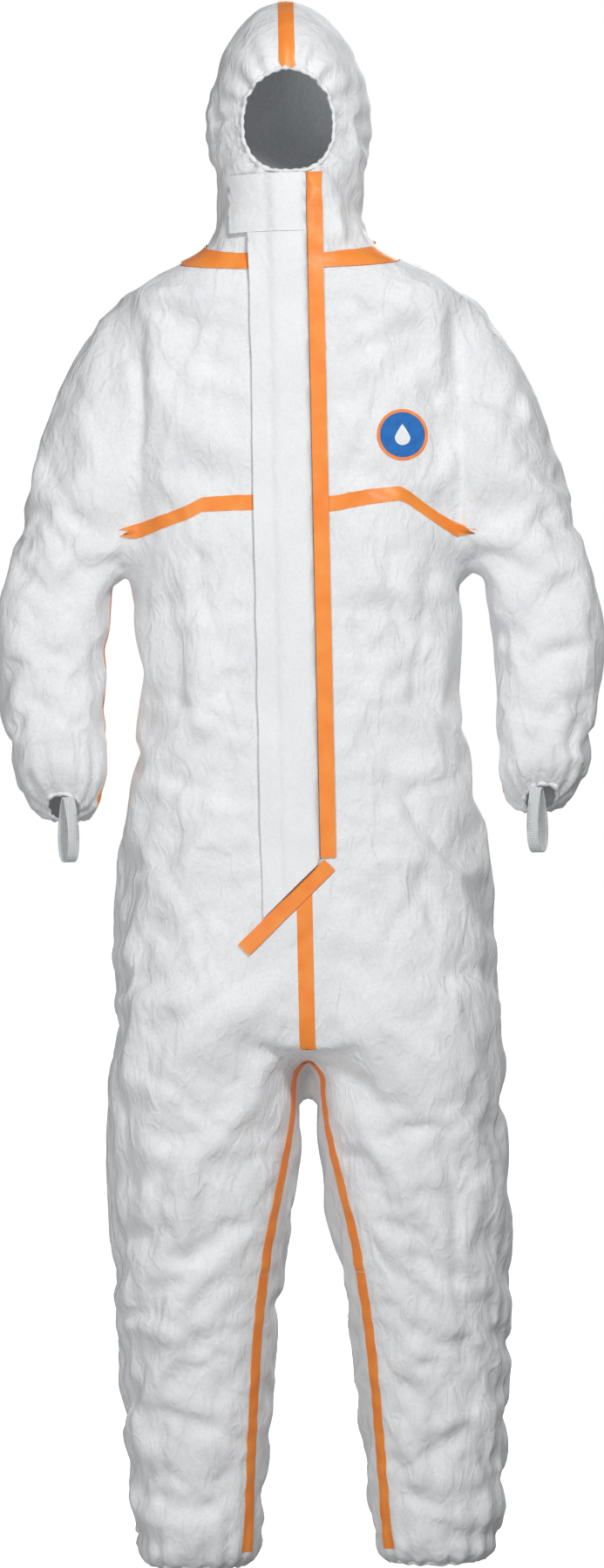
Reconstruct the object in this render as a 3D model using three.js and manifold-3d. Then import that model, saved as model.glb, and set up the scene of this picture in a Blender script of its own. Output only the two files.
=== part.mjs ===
// A hooded chemical protective coverall, hanging as it does on a body with the arms a little bent.
// Millimetres, +Z up, the front faces -Y and the wearer's left is +X.
// The origin is the middle of the neck base, where the wearer's shoulders carry the garment.
//
// Every fabric piece is a patch of a tube-like surface, given a wall by two offsets from it.
// A tube is a row of sections; a section is a superellipse with a half width, a front and a back.
import * as THREE from "three";
import { mergeVertices } from "three/addons/utils/BufferGeometryUtils.js";
import Module from "manifold-3d";

const wasm = await Module();
wasm.setup();

// ---- driving dimensions ----
const WALL = 2; // stand-in thickness of the nonwoven fabric
const GAP = 0.3; // clearance between neighbouring pieces
const TAPE_WIDTH = 17; // seam tape
const TAPE_THICK = 0.7;
const COLLAR_TOP = 92; // where the hood folds back from the collar
const FRONT_AT_NECK = -95.5; // y of the straight front line at z = 0
const FRONT_LEAN = 0.0382; // how far the front line moves back for each mm it rises
const ARMHOLE_X = 181; // the plane of each armhole
const SIDE_Z = -330; // where the yoke seam reaches the side, under the arm
const CROTCH_Z = -850;
const KNEE_Z = -1120;
const HEM_Z = -1445;
const FACE = { z: 149, halfWidth: 51, halfHeight: 57 }; // the elasticated face opening
const ZIP = { halfGap: 15, coil: 2.2, tapeIn: 2.6, top: COLLAR_TOP - 8, bottom: -666 };
const FLAP = { hingeX: 17.2, freeX: -45, thick: 1, bulge: 7, lap: 3.8, top: 24 };
const ADHESIVE = { inset: 4, width: 12, thick: 0.4, under: 1.05 };
const CHIN_FLAP = { freeX: -64, bottom: 26, top: COLLAR_TOP - 2 };
const SEAM_TAPE_X = 18.4; // the long tape that covers the seam of the storm flap
const FOOT = { from: [28, -670], to: [-67, -761] }; // centre line of the slanting tape at the flap's foot
const BADGE = { x: 118, z: -200, radius: 28, rim: 3.5 };
const WAIST_Z = -485;
const ELASTIC = { width: 10, thick: 1.5 };
const LOOP = { height: 72, halfWidth: 15, band: 14, thick: 1.4, turn: 1, drop: 0.1 + WALL };

// Torso sections: [z, half width, back y]; the front follows the straight front line.
const TORSO = [
  [COLLAR_TOP, 81, 72], [58, 79, 70], [35, 84, 72], [18, 93, 76], [8, 104, 80], [0, 120, 83], [-19, 163, 92],
  [-45, 188, 100], [-90, 197, 108], [-150, 200, 116], [-250, 198, 116], [-300, 190, 112],
  [-330, 181, 109], [-388, 180, 103], [-427, 176, 98], [-485, 174, 94], [-543, 184, 100],
  [-620, 194, 116], [-700, 200, 125], [-776, 206, 124], [-850, 211, 116],
];
// Hood sections: [z, half width, front y, back y].
const HOOD = [
  [COLLAR_TOP, 81, -92, 72], [116, 88, -97, 88], [136, 90, -99, 97], [160, 90, -99, 104], [194, 84, -97, 104],
  [213, 78, -92, 100], [233, 69, -84, 91], [252, 57, -72, 77], [272, 39, -48, 52], [284, 24, -29, 33],
  [291, 7, -7, 11],
];
// Leg sections: [z, inner x, outer x, front y, back y].
const LEG = [
  [-850, 2, 211, -128, 116], [-900, 6, 214, -124, 119], [-970, 12, 216, -119, 117],
  [-1067, 23, 217, -111, 108], [-1164, 39, 217, -101, 98], [-1261, 49, 213, -92, 94],
  [-1358, 56, 208, -86, 90], [-1415, 60, 204, -83, 86], [-1445, 68, 194, -76, 78],
];
// Sleeve sections: [inner x, inner z, outer x, outer z, centre y, half depth, forward tilt].
const SLEEVE = [
  [181, -324, 181, -26, 6, 62, 0], [191, -337, 226, -70, 4, 68, 0], [199, -346, 270, -166, 1, 70, 0],
  [205, -362, 299, -258, -3, 66, 0.04], [209, -386, 321, -334, -7, 62, 0.08],
  [212, -412, 334, -402, -11, 60, 0.1], [215, -455, 332, -450, -16, 58, 0.14],
  [216, -505, 327, -500, -22, 56, 0.2], [216, -550, 322, -545, -29, 55, 0.28],
  [219, -584, 317, -578, -36, 50, 0.42], [228, -609, 289, -609, -42, 33, 0.7],
];
const ELBOW = 5; // the sleeve section at the elbow

const COLOURS = {
  fabric: [0xe9ebec, 0.75],
  tape: [0xf58a3c, 0.55],
  elastic: [0xd9dadb, 0.8],
  zip: [0xf2f2f2, 0.6],
  slider: [0xc9ccd0, 0.4],
  adhesive: [0xe4e0cf, 0.3],
  badgeBlue: [0x1a6fb8, 0.5],
};

// ---- curves through the section rows ----

// Row i of a table at a real-valued index, by a Catmull-Rom cubic in every column.
function rowAt(table, t) {
  const i = Math.min(Math.max(Math.floor(t), 0), table.length - 2);
  const f = t - i;
  const row = (k) => table[Math.min(Math.max(k, 0), table.length - 1)];
  return table[i].map((_, c) => {
    const [p0, p1, p2, p3] = [row(i - 1)[c], row(i)[c], row(i + 1)[c], row(i + 2)[c]];
    const bend = f * f * (2 * p0 - 5 * p1 + 4 * p2 - p3) + f * f * f * (3 * p1 - p0 - 3 * p2 + p3);
    return p1 + 0.5 * (f * (p2 - p0) + bend);
  });
}

// The real-valued index at which a table's falling or rising first column reaches z.
function indexAt(table, z) {
  const falling = table[0][0] > table[table.length - 1][0];
  let [low, high] = [0, table.length - 1];
  for (let k = 0; k < 40; k++) {
    const mid = (low + high) / 2;
    if (rowAt(table, mid)[0] > z === falling) low = mid;
    else high = mid;
  }
  return (low + high) / 2;
}

const frontLine = (z) => FRONT_AT_NECK + FRONT_LEAN * z;
const smooth = (t) => {
  const c = Math.min(Math.max(t, 0), 1);
  return c * c * (3 - 2 * c);
};
const mix = (a, b, t) => a + (b - a) * t;

// Superellipse: cosine and sine raised so that n = 2 is an ellipse and more is squarer.
const power = (value, n) => Math.sign(value) * Math.abs(value) ** (2 / n);

function section(centre, halfWidth, halfDepth, n, angle, offset) {
  return [
    centre[0] + (halfWidth + offset) * power(Math.cos(angle), n),
    centre[1] + (halfDepth + offset) * power(Math.sin(angle), n),
  ];
}

// ---- the four surfaces: a point for an angle, a height or station, and an offset outwards ----
const BODY_SQUARE = 2.5;

function torsoRow(z) {
  const [, half, back] = rowAt(TORSO, indexAt(TORSO, z));
  const front = frontLine(z);
  const n = mix(BODY_SQUARE, 2.1, smooth(z / 60));
  return { half, middle: (front + back) / 2, depth: (back - front) / 2, n };
}

function torsoPoint(angle, z, offset) {
  const r = torsoRow(z);
  const [x, y] = section([0, r.middle], r.half, r.depth, r.n, angle, offset);
  return new THREE.Vector3(x, y, z);
}

// The angle at which a torso section reaches x, on the front or on the back.
function torsoAngle(x, z, back = false) {
  const r = torsoRow(z);
  const share = Math.min(Math.abs(x) / r.half, 1);
  const angle = Math.acos(share ** (r.n / 2));
  const turned = x < 0 ? Math.PI - angle : angle;
  return back ? turned : -turned;
}

function hoodPoint(angle, z, offset) {
  const [, half, front, back] = rowAt(HOOD, indexAt(HOOD, z));
  const [x, y] = section([0, (front + back) / 2], half, (back - front) / 2, 2.1, angle, offset);
  return new THREE.Vector3(x, y, z);
}

function legPoint(angle, z, offset) {
  const [, inner, outer, front, back] = rowAt(LEG, indexAt(LEG, z));
  const n = mix(2.3, 3.2, smooth((z - CROTCH_Z + 120) / 120));
  const centre = [(inner + outer) / 2, (front + back) / 2];
  const [x, y] = section(centre, (outer - inner) / 2, (back - front) / 2, n, angle, offset);
  return new THREE.Vector3(x, y, z);
}

function sleevePoint(angle, station, offset) {
  const [xi, zi, xo, zo, y, depth, tilt] = rowAt(SLEEVE, station);
  const across = new THREE.Vector3(xo - xi, 0, zo - zi);
  const half = across.length() / 2;
  const towardsBack = new THREE.Vector3(0, Math.cos(tilt), -Math.sin(tilt));
  const [u, v] = section([0, 0], half, depth, 2.2, angle, offset);
  return new THREE.Vector3((xi + xo) / 2, y, (zi + zo) / 2)
    .addScaledVector(across.normalize(), u)
    .addScaledVector(towardsBack, v);
}

// ---- solids ----

// A closed solid between two skins of pointAt(u, v, skin), skin 0 inside and 1 outside.
// With ring, u goes all the way round and has no side walls.
function skinSolid(pointAt, nu, nv, ring = false) {
  const columns = ring ? nu : nu + 1;
  const vertices = [];
  const triangles = [];
  for (const skin of [0, 1])
    for (let j = 0; j <= nv; j++)
      for (let i = 0; i < columns; i++) vertices.push(...pointAt(i / nu, j / nv, skin).toArray());
  const at = (i, j, skin) => (skin * (nv + 1) + j) * columns + (ring ? i % nu : i);
  const quad = (a, b, c, d) => triangles.push(a, b, c, a, c, d);
  for (let i = 0; i < nu; i++) {
    for (let j = 0; j < nv; j++) {
      quad(at(i, j, 1), at(i + 1, j, 1), at(i + 1, j + 1, 1), at(i, j + 1, 1));
      quad(at(i, j, 0), at(i, j + 1, 0), at(i + 1, j + 1, 0), at(i + 1, j, 0));
    }
    quad(at(i, 0, 0), at(i + 1, 0, 0), at(i + 1, 0, 1), at(i, 0, 1));
    quad(at(i, nv, 0), at(i, nv, 1), at(i + 1, nv, 1), at(i + 1, nv, 0));
  }
  for (let j = 0; j < nv && !ring; j++) {
    quad(at(0, j, 0), at(0, j, 1), at(0, j + 1, 1), at(0, j + 1, 0));
    quad(at(nu, j, 0), at(nu, j + 1, 0), at(nu, j + 1, 1), at(nu, j, 1));
  }
  const geometry = new THREE.BufferGeometry();
  geometry.setAttribute("position", new THREE.Float32BufferAttribute(vertices, 3));
  geometry.setIndex(triangles);
  return facingOut(geometry);
}

// Turns a closed geometry's faces round if its signed volume says that they point inwards.
function facingOut(geometry) {
  const p = geometry.getAttribute("position");
  if (!geometry.index) geometry.setIndex([...Array(p.count).keys()]);
  const index = geometry.index.array;
  const corner = [0, 1, 2].map(() => new THREE.Vector3());
  let volume = 0;
  for (let k = 0; k < index.length; k += 3) {
    corner.forEach((c, m) => c.fromBufferAttribute(p, index[k + m]));
    volume += corner[0].dot(corner[1].cross(corner[2]));
  }
  if (volume < 0) index.reverse();
  return geometry;
}

function mirrored(geometry) {
  const copy = geometry.clone().scale(-1, 1, 1);
  return facingOut(copy);
}

// A wall-thick patch of a surface: where(u, v) gives the angle and the height or station.
function panel(surface, where, nu, nv, { from = -WALL, to = 0, ring = false } = {}) {
  return skinSolid((u, v, skin) => {
    const [angle, z] = where(u, v);
    const low = typeof from === "function" ? from(u, v) : from;
    const high = typeof to === "function" ? to(u, v) : to;
    return surface(angle, z, skin ? high : low);
  }, nu, nv, ring);
}

// A tape's two skins; lift clears the flat facets of the fabric beneath where it curves inwards.
const tapeSkin = (lift) => ({ from: lift, to: lift + TAPE_THICK });
const TAPE_SKIN = tapeSkin(0.6);

function asManifold(geometry) {
  const bare = geometry.clone();
  for (const name of ["normal", "uv"]) bare.deleteAttribute(name);
  const merged = mergeVertices(bare, 1e-4);
  return new wasm.Manifold(new wasm.Mesh({
    numProp: 3,
    vertProperties: new Float32Array(merged.getAttribute("position").array),
    triVerts: new Uint32Array(merged.index.array),
  }));
}

function asGeometry(solid) {
  const { vertProperties, triVerts } = solid.getMesh();
  const geometry = new THREE.BufferGeometry();
  geometry.setAttribute("position", new THREE.BufferAttribute(new Float32Array(vertProperties), 3));
  geometry.setIndex(new THREE.BufferAttribute(new Uint32Array(triVerts), 1));
  return geometry;
}

const cut = (geometry, tool) => asGeometry(asManifold(geometry).subtract(asManifold(tool)));
const join = (...parts) => asGeometry(parts.map(asManifold).reduce((a, b) => a.add(b)));

// ---- the model ----
const suit = new THREE.Group();

function add(name, geometry, look, parent = suit) {
  const [color, roughness] = COLOURS[look];
  const metalness = look === "slider" ? 0.7 : 0;
  const mesh = new THREE.Mesh(geometry, new THREE.MeshStandardMaterial({ color, roughness, metalness }));
  mesh.name = name;
  parent.add(mesh);
  return mesh;
}

// A left piece and its mirror image.
function addPair(name, geometry, look) {
  add(`${name}_left`, geometry, look);
  add(`${name}_right`, mirrored(geometry), look);
}

// ---- seam lines on the torso ----
const NECK_FRONT_Z = -10;
const neckSeam = (angle) => {
  const towardsSide = smooth((1 + Math.sin(angle)) * 0.9);
  const towardsBack = smooth(Math.sin(angle));
  return NECK_FRONT_Z + 22 * towardsSide + 14 * towardsBack;
};
const chestSeam = (x) => -272 - 54 * smooth((Math.abs(x) - 30) / 151);
const backSeam = (x) => -250 - 76 * smooth((Math.abs(x) - 30) / 151);
const SEAM_GAP = 0.8; // either side of the yoke seam, for the flat facets of its curve

function footLine(x) {
  const [[x0, z0], [x1, z1]] = [FOOT.from, FOOT.to];
  return z0 + ((x - x0) * (z1 - z0)) / (x1 - x0);
}

// The torso's front edge beside the zip: it closes on the centre line below the zip.
const frontEdge = (z) => (z > ZIP.bottom ? ZIP.halfGap : GAP / 2);

const CENTRE_BACK = Math.PI / 2 - 0.002;

// Rows lie closer together near the neck, where the surface curves inwards.
const closerAtTop = (v) => 1 - (1 - v) ** 1.6;

// The height at which a line of constant u meets a seam that depends on x.
function seamHeight(seam, angleAt) {
  let z = seam(0);
  for (let k = 0; k < 8; k++) z = seam(torsoPoint(angleAt(z), z, 0).x);
  return z;
}

function collar() {
  const where = (u, v) => {
    const start = torsoAngle(ZIP.halfGap, COLLAR_TOP);
    const low = neckSeam(mix(start, CENTRE_BACK, u)) + GAP / 2;
    const z = mix(low, COLLAR_TOP - GAP, v);
    return [mix(torsoAngle(ZIP.halfGap, z), CENTRE_BACK, u), z];
  };
  addPair("collar", panel(torsoPoint, where, 14, 5), "fabric");
}

// A torso section's angle where it meets the armhole plane, or its side where it is narrower.
const armholeAngle = (z, back) => torsoAngle(Math.min(ARMHOLE_X, torsoRow(z).half), z, back);

function yoke() {
  const front = (u, v) => {
    const angleAt = (z) => mix(torsoAngle(ZIP.halfGap, z), armholeAngle(z, false), u);
    const top = neckSeam(angleAt(0)) - GAP / 2;
    const z = mix(seamHeight(chestSeam, angleAt) + SEAM_GAP, top, closerAtTop(v));
    return [Math.min(angleAt(z), -0.004), z];
  };
  addPair("yoke_front", panel(torsoPoint, front, 10, 10), "fabric");
  const back = (u, v) => {
    const angleAt = (z) => mix(armholeAngle(z, true), Math.PI - armholeAngle(z, true), u);
    const top = neckSeam(angleAt(0)) - GAP / 2;
    const z = mix(seamHeight(backSeam, angleAt) + SEAM_GAP, top, closerAtTop(v));
    return [Math.min(Math.max(angleAt(z), 0.004), Math.PI - 0.004), z];
  };
  add("yoke_back", panel(torsoPoint, back, 18, 10), "fabric");
}

// One wrap-round panel a side, from the centre front to the centre back, between the yoke and the crotch.
function body() {
  const closes = ZIP.bottom;
  const rows = [CROTCH_Z, -776, closes - 0.4, closes + 0.4, -543, WAIST_Z, -430, -370];
  const seamRows = [-24, -SEAM_GAP]; // below the yoke's seam
  const last = rows.length + seamRows.length - 1;
  const where = (u, v) => {
    const angleAt = (z) => mix(torsoAngle(frontEdge(z), z), CENTRE_BACK, u);
    const seam = seamHeight(angleAt(SIDE_Z) < 0 ? chestSeam : backSeam, angleAt);
    const k = Math.round(v * last);
    const z = k < rows.length ? rows[k] : seam + seamRows[k - rows.length];
    return [angleAt(z), z];
  };
  addPair("body", panel(torsoPoint, where, 20, last), "fabric");
}

// ---- seam tapes on the torso ----
function torsoTapes() {
  const half = TAPE_WIDTH / 2;
  const round = (u, v) => {
    const start = torsoAngle(SEAM_TAPE_X + TAPE_WIDTH + GAP, 0);
    const angle = mix(start, Math.PI / 2 - 0.08, u);
    return [angle, neckSeam(angle) + mix(-half, half, v)];
  };
  const lifted = tapeSkin(1.3);
  const neckSkin = tapeSkin(3.3);
  add("neck_tape_left", panel(torsoPoint, round, 14, 2, neckSkin), "tape");
  const roundRight = (u, v) => {
    const angle = mix(torsoAngle(FLAP.freeX - 2.5, 0), -Math.PI * 1.5 + 0.08, u);
    return [angle, neckSeam(angle) + mix(-half, half, v)];
  };
  add("neck_tape_right", panel(torsoPoint, roundRight, 14, 2, neckSkin), "tape");

  const chest = (x0) => (u, v) => {
    const angleAt = (z) => mix(torsoAngle(x0, z), torsoAngle(Math.sign(x0) * (ARMHOLE_X - 2), z), u);
    const z = seamHeight(chestSeam, angleAt) + mix(-half, half, v);
    return [angleAt(z), z];
  };
  const nearSeamTape = SEAM_TAPE_X + TAPE_WIDTH + GAP;
  add("chest_tape_left", panel(torsoPoint, chest(nearSeamTape), 10, 2, lifted), "tape");
  add("chest_tape_right", panel(torsoPoint, chest(-ZIP.halfGap - 2), 10, 2, lifted), "tape");

  const acrossBack = (u, v) => {
    const side = (z) => torsoAngle(ARMHOLE_X - 2, z, true);
    const angleAt = (z) => mix(side(z), Math.PI - side(z), u);
    const z = seamHeight(backSeam, angleAt) + mix(-half, half, v);
    return [angleAt(z), z];
  };
  add("back_yoke_tape", panel(torsoPoint, acrossBack, 20, 2, lifted), "tape");

  // An upright strip between two heights and two values of x, on the front or the back.
  const upright = (x0, x1, bottom, top, back) => (u, v) => {
    const z = mix(bottom, top, v);
    return [torsoAngle(mix(x0, x1, u), z, back), z];
  };
  const down = upright(half, -half, CROTCH_Z + GAP, backSeam(0) - half - GAP, true);
  add("centre_back_tape", panel(torsoPoint, down, 2, 14, lifted), "tape");
  const nape = upright(half, -half, neckSeam(Math.PI / 2) + half + GAP, COLLAR_TOP - 2, true);
  add("collar_back_tape", panel(torsoPoint, nape, 2, 4, TAPE_SKIN), "tape");
  const riseTop = footLine(-half) - TAPE_WIDTH * 0.72 - 1;
  const rise = upright(-half, half, CROTCH_Z + GAP, riseTop, false);
  add("front_rise_tape", panel(torsoPoint, rise, 2, 6, TAPE_SKIN), "tape");
  const seamTapeFoot = footLine(SEAM_TAPE_X) + TAPE_WIDTH;
  const seam = upright(SEAM_TAPE_X, SEAM_TAPE_X + TAPE_WIDTH, seamTapeFoot, COLLAR_TOP - GAP, false);
  add("flap_seam_tape", panel(torsoPoint, seam, 3, 24, TAPE_SKIN), "tape");

  const [[x0, z0], [x1, z1]] = [FOOT.from, FOOT.to];
  const along = new THREE.Vector2(x1 - x0, z1 - z0).normalize();
  const foot = (u, v) => {
    const x = mix(x0, x1, u) - along.y * mix(-half, half, v);
    const z = mix(z0, z1, u) + along.x * mix(-half, half, v);
    return [torsoAngle(x, z), z];
  };
  add("flap_foot_tape", panel(torsoPoint, foot, 8, 2, TAPE_SKIN), "tape");
}

// ---- storm flap and chin flap over the zip ----

// The flaps lie on the fabric at both edges and arch over the zip between them.
function flapLift(x) {
  const onHinge = smooth((FLAP.hingeX - 0.6 - x) / 6);
  const onLap = smooth((x + ZIP.halfGap + 9) / 7);
  return mix(FLAP.lap, FLAP.bulge, Math.min(onHinge, onLap));
}

function flapPanel(freeX, bottom, top, nv) {
  const x = (u) => mix(FLAP.hingeX - 0.6, freeX, u);
  const where = (u, v) => {
    const z = mix(bottom(x(u)), top, closerAtTop(v));
    return [torsoAngle(x(u), z), z];
  };
  const skins = { from: (u) => flapLift(x(u)), to: (u) => flapLift(x(u)) + FLAP.thick };
  return panel(torsoPoint, where, 12, nv, skins);
}

function flapAdhesive(freeX, bottom, top, nv) {
  const where = (u, v) => {
    const x = freeX + ADHESIVE.inset + u * ADHESIVE.width;
    const z = mix(bottom, top, v);
    return [torsoAngle(x, z), z];
  };
  const upper = FLAP.lap - ADHESIVE.under;
  return panel(torsoPoint, where, 3, nv, { from: upper - ADHESIVE.thick, to: upper });
}

function flaps() {
  const foot = (x) => footLine(x) + TAPE_WIDTH * 0.72 + 1;
  add("storm_flap", flapPanel(FLAP.freeX, foot, FLAP.top, 12), "fabric");
  const [low, high] = [foot(FLAP.freeX) + 20, NECK_FRONT_Z - TAPE_WIDTH];
  add("storm_flap_adhesive", flapAdhesive(FLAP.freeX, low, high, 12), "adhesive");
  add("chin_flap", flapPanel(CHIN_FLAP.freeX, () => CHIN_FLAP.bottom, CHIN_FLAP.top, 4), "fabric");
  const pad = flapAdhesive(CHIN_FLAP.freeX, CHIN_FLAP.bottom + 4, CHIN_FLAP.top - 4, 3);
  add("chin_flap_adhesive", pad, "adhesive");
}

// ---- zip ----

// The zip is straight, so it is made upright in a group that leans with the front line.
function zip() {
  const front = new THREE.Group();
  const lean = Math.atan(FRONT_LEAN);
  front.position.set(0, frontLine(0), 0);
  front.rotation.x = -lean;
  suit.add(front);
  const stretch = 1 / Math.cos(lean);
  const [top, bottom] = [ZIP.top * stretch, ZIP.bottom * stretch];
  const bar = (x0, x1, y0, y1, z0, z1) =>
    new THREE.BoxGeometry(x1 - x0, y1 - y0, z1 - z0).translate((x0 + x1) / 2, (y0 + y1) / 2, (z0 + z1) / 2);
  const sides = { left: 1, right: -1 };
  for (const [name, side] of Object.entries(sides)) {
    const tape = bar(ZIP.tapeIn, ZIP.halfGap - GAP, GAP, GAP + 1, bottom + 1, top);
    const coil = bar(GAP / 2, ZIP.coil, -2.4, 0.2, bottom + 5, top);
    add(`zip_tape_${name}`, side > 0 ? tape : mirrored(tape), "zip", front);
    add(`zip_coil_${name}`, side > 0 ? coil : mirrored(coil), "zip", front);
  }
  add("zip_bottom_stop", bar(-3, 3, -2.6, -0.1, bottom + 1, bottom + 4.6), "slider", front);

  // Slider: a channel that straddles both coils, with a post for its pull.
  const [wide, tall] = [4, 13];
  const sliderZ = top - tall / 2 - 2;
  const channel = cut(
    bar(-wide, wide, -4.2, -GAP, sliderZ - tall / 2, sliderZ + tall / 2),
    bar(-ZIP.coil - 0.4, ZIP.coil + 0.4, -2.8, 1, sliderZ - tall, sliderZ + tall),
  );
  const postZ = sliderZ + 2;
  const post = new THREE.CylinderGeometry(1.2, 1.2, 2.6, 16).translate(0, -5.2, postZ);
  add("zip_slider", join(channel, post), "slider", front);

  const outline = new THREE.Shape();
  outline.absarc(0, 0, 3.2, 0, Math.PI, false);
  outline.lineTo(-4, -24);
  outline.absarc(0, -24, 4, Math.PI, 2 * Math.PI, false);
  outline.closePath();
  outline.holes.push(new THREE.Path().absarc(0, 0, 1.6, 0, 2 * Math.PI, true));
  const pull = new THREE.ExtrudeGeometry(outline, { depth: 1.1, bevelEnabled: false, curveSegments: 10 });
  pull.rotateX(Math.PI / 2).translate(0, -4.5, postZ);
  add("zip_pull", pull, "slider", front);
}

// ---- hood ----
function hood() {
  const low = COLLAR_TOP + GAP;
  const high = HOOD[HOOD.length - 1][0];
  const rows = 14;
  const rowHeight = (k) => mix(low, high, 1 - (1 - k / rows) ** 1.35);
  const where = (u, v) => [mix(-CENTRE_BACK, CENTRE_BACK, u), rowHeight(Math.round(v * rows))];
  const half = panel(hoodPoint, where, 16, rows);
  const oval = new THREE.Shape();
  oval.absellipse(0, 0, FACE.halfWidth, FACE.halfHeight, 0, 2 * Math.PI);
  const faceCutter = new THREE.ExtrudeGeometry(oval, { depth: 130, bevelEnabled: false, curveSegments: 14 });
  faceCutter.rotateX(Math.PI / 2).translate(0, -10, FACE.z);
  const left = asManifold(cut(half, faceCutter)).decompose();
  const biggest = left.reduce((a, b) => (a.volume() > b.volume() ? a : b));
  addPair("hood", asGeometry(biggest), "fabric");

  // The centre tape follows the hood's profile from the forehead over the crown to the nape.
  const profile = [];
  const heights = [...Array(rows + 1).keys()].map(rowHeight);
  const brow = FACE.z + FACE.halfHeight + 1;
  for (const z of heights.filter((h) => h > brow)) profile.push(hoodPoint(-Math.PI / 2, z, 0));
  for (const z of heights.reverse()) profile.push(hoodPoint(Math.PI / 2, z, 0));
  const middle = new THREE.Vector2(0, 150);
  const ring = (offset) =>
    profile.map((p) => {
      const flat = new THREE.Vector2(p.y, p.z);
      return flat.add(flat.clone().sub(middle).normalize().multiplyScalar(offset));
    });
  const outline = new THREE.Shape([...ring(1.7), ...ring(0.8).reverse()]);
  const tape = new THREE.ExtrudeGeometry(outline, { depth: TAPE_WIDTH, bevelEnabled: false });
  tape.rotateX(Math.PI / 2).rotateZ(Math.PI / 2).translate(-TAPE_WIDTH / 2, 0, 0);
  add("hood_centre_tape", tape, "tape");

  // The face elastic is a cord just inside the edge of the opening.
  const cord = 2;
  const reach = 3;
  const elastic = new THREE.TorusGeometry(1, cord / FACE.halfWidth, 6, 32);
  elastic.scale(FACE.halfWidth + reach, FACE.halfHeight + reach, FACE.halfWidth).rotateX(Math.PI / 2);
  const p = elastic.getAttribute("position");
  for (let k = 0; k < p.count; k++) {
    const z = p.getZ(k) + FACE.z;
    const [, halfWide, front, back] = rowAt(HOOD, indexAt(HOOD, z));
    const share = Math.min(Math.abs(p.getX(k)) / halfWide, 1);
    const depth = ((back - front) / 2) * (1 - share ** 2.1) ** (1 / 2.1);
    p.setXYZ(k, p.getX(k), p.getY(k) + (front + back) / 2 - depth + WALL * 1.6 + cord + GAP, z);
  }
  add("face_elastic", elastic, "elastic");
}

// ---- sleeves ----
function sleeves() {
  const tube = (s0, s1, nv) => (u, v) => [u * 2 * Math.PI, mix(s0, s1, v)];
  const end = SLEEVE.length - 1;
  const rooted = (angle, station, offset) => {
    const p = sleevePoint(angle, station, offset);
    p.x = Math.max(p.x, ARMHOLE_X + GAP);
    return p;
  };
  const ring = { ring: true };
  addPair("upper_sleeve", panel(rooted, tube(0, ELBOW - 0.004), 18, 7, ring), "fabric");
  addPair("lower_sleeve", panel(sleevePoint, tube(ELBOW + 0.004, end), 18, 8, ring), "fabric");
  const band = panel(sleevePoint, tube(end - 0.42, end - 0.05), 18, 1,
    { ring: true, from: -WALL - 0.8 - ELASTIC.thick, to: -WALL - 0.8 });
  addPair("wrist_elastic", band, "elastic");

  // The underarm seam runs down the inner side, turned a little to the back.
  const seamAngle = Math.PI - 0.55;
  const strip = (s0, s1) => (u, v) => {
    const station = mix(s0, s1, v);
    const [xi, zi, xo, zo, , depth] = rowAt(SLEEVE, station);
    const size = (Math.hypot(xo - xi, zo - zi) / 2 + depth) / 2;
    return [seamAngle + mix(-0.5, 0.5, u) * (TAPE_WIDTH / size), station];
  };
  addPair("upper_sleeve_tape", panel(sleevePoint, strip(1.2, ELBOW - 0.03), 3, 8, TAPE_SKIN), "tape");
  addPair("lower_sleeve_tape", panel(sleevePoint, strip(ELBOW + 0.03, end - 0.9), 3, 8, TAPE_SKIN), "tape");
}

// A flat elastic band in a loop, narrow where both its ends are sewn to the front of the cuff.
function thumbLoops() {
  const cuff = sleevePoint(-Math.PI / 2, SLEEVE.length - 1, 0);
  const upright = new THREE.Vector3(0, 0, 1);
  const ribbon = skinSolid((u, v, skin) => {
    const inset = skin ? 0 : LOOP.thick;
    const turn = u * 2 * Math.PI;
    const x = (LOOP.halfWidth - inset) * Math.sin(turn) * (0.72 - 0.28 * Math.cos(turn));
    const z = -LOOP.height / 2 + (LOOP.height / 2 - inset) * Math.cos(turn);
    const p = new THREE.Vector3(x, (v - 0.5) * LOOP.band, z).applyAxisAngle(upright, LOOP.turn);
    return p.add(new THREE.Vector3(cuff.x, cuff.y + WALL / 2, cuff.z - LOOP.drop));
  }, 28, 1, true);
  addPair("thumb_loop", ribbon, "elastic");
}

// ---- legs ----
function legs() {
  const tube = (heights, skins = {}) => {
    const rows = heights.length - 1;
    const where = (u, v) => [u * 2 * Math.PI, heights[Math.round(v * rows)]];
    return panel(legPoint, where, 20, rows, { ring: true, ...skins });
  };
  const inHem = [HEM_Z + 3 + ELASTIC.width, HEM_Z + 3];
  addPair("thigh", tube([CROTCH_Z - GAP, -900, -970, -1040, KNEE_Z + GAP / 2]), "fabric");
  addPair("shin", tube([KNEE_Z - GAP / 2, -1180, -1250, -1310, -1358, -1400, ...inHem, HEM_Z]), "fabric");
  const band = tube(inHem, { from: -WALL - 0.8 - ELASTIC.thick, to: -WALL - 0.8 });
  addPair("ankle_elastic", band, "elastic");

  // The inseam runs down the inner side, turned a little to the front.
  const strip = (top, bottom) => (u, v) => {
    const z = mix(top, bottom, v);
    const [, inner, outer, front, back] = rowAt(LEG, indexAt(LEG, z));
    const size = (outer - inner + back - front) / 4;
    const turned = mix(0.25, 0.72, smooth((CROTCH_Z - z) / 260));
    return [Math.PI + turned + mix(-0.5, 0.5, u) * (TAPE_WIDTH / size), z];
  };
  addPair("thigh_tape", panel(legPoint, strip(CROTCH_Z - 8, KNEE_Z + 1), 3, 8, TAPE_SKIN), "tape");
  addPair("shin_tape", panel(legPoint, strip(KNEE_Z - 1, HEM_Z + 18), 3, 9, TAPE_SKIN), "tape");
}

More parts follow.
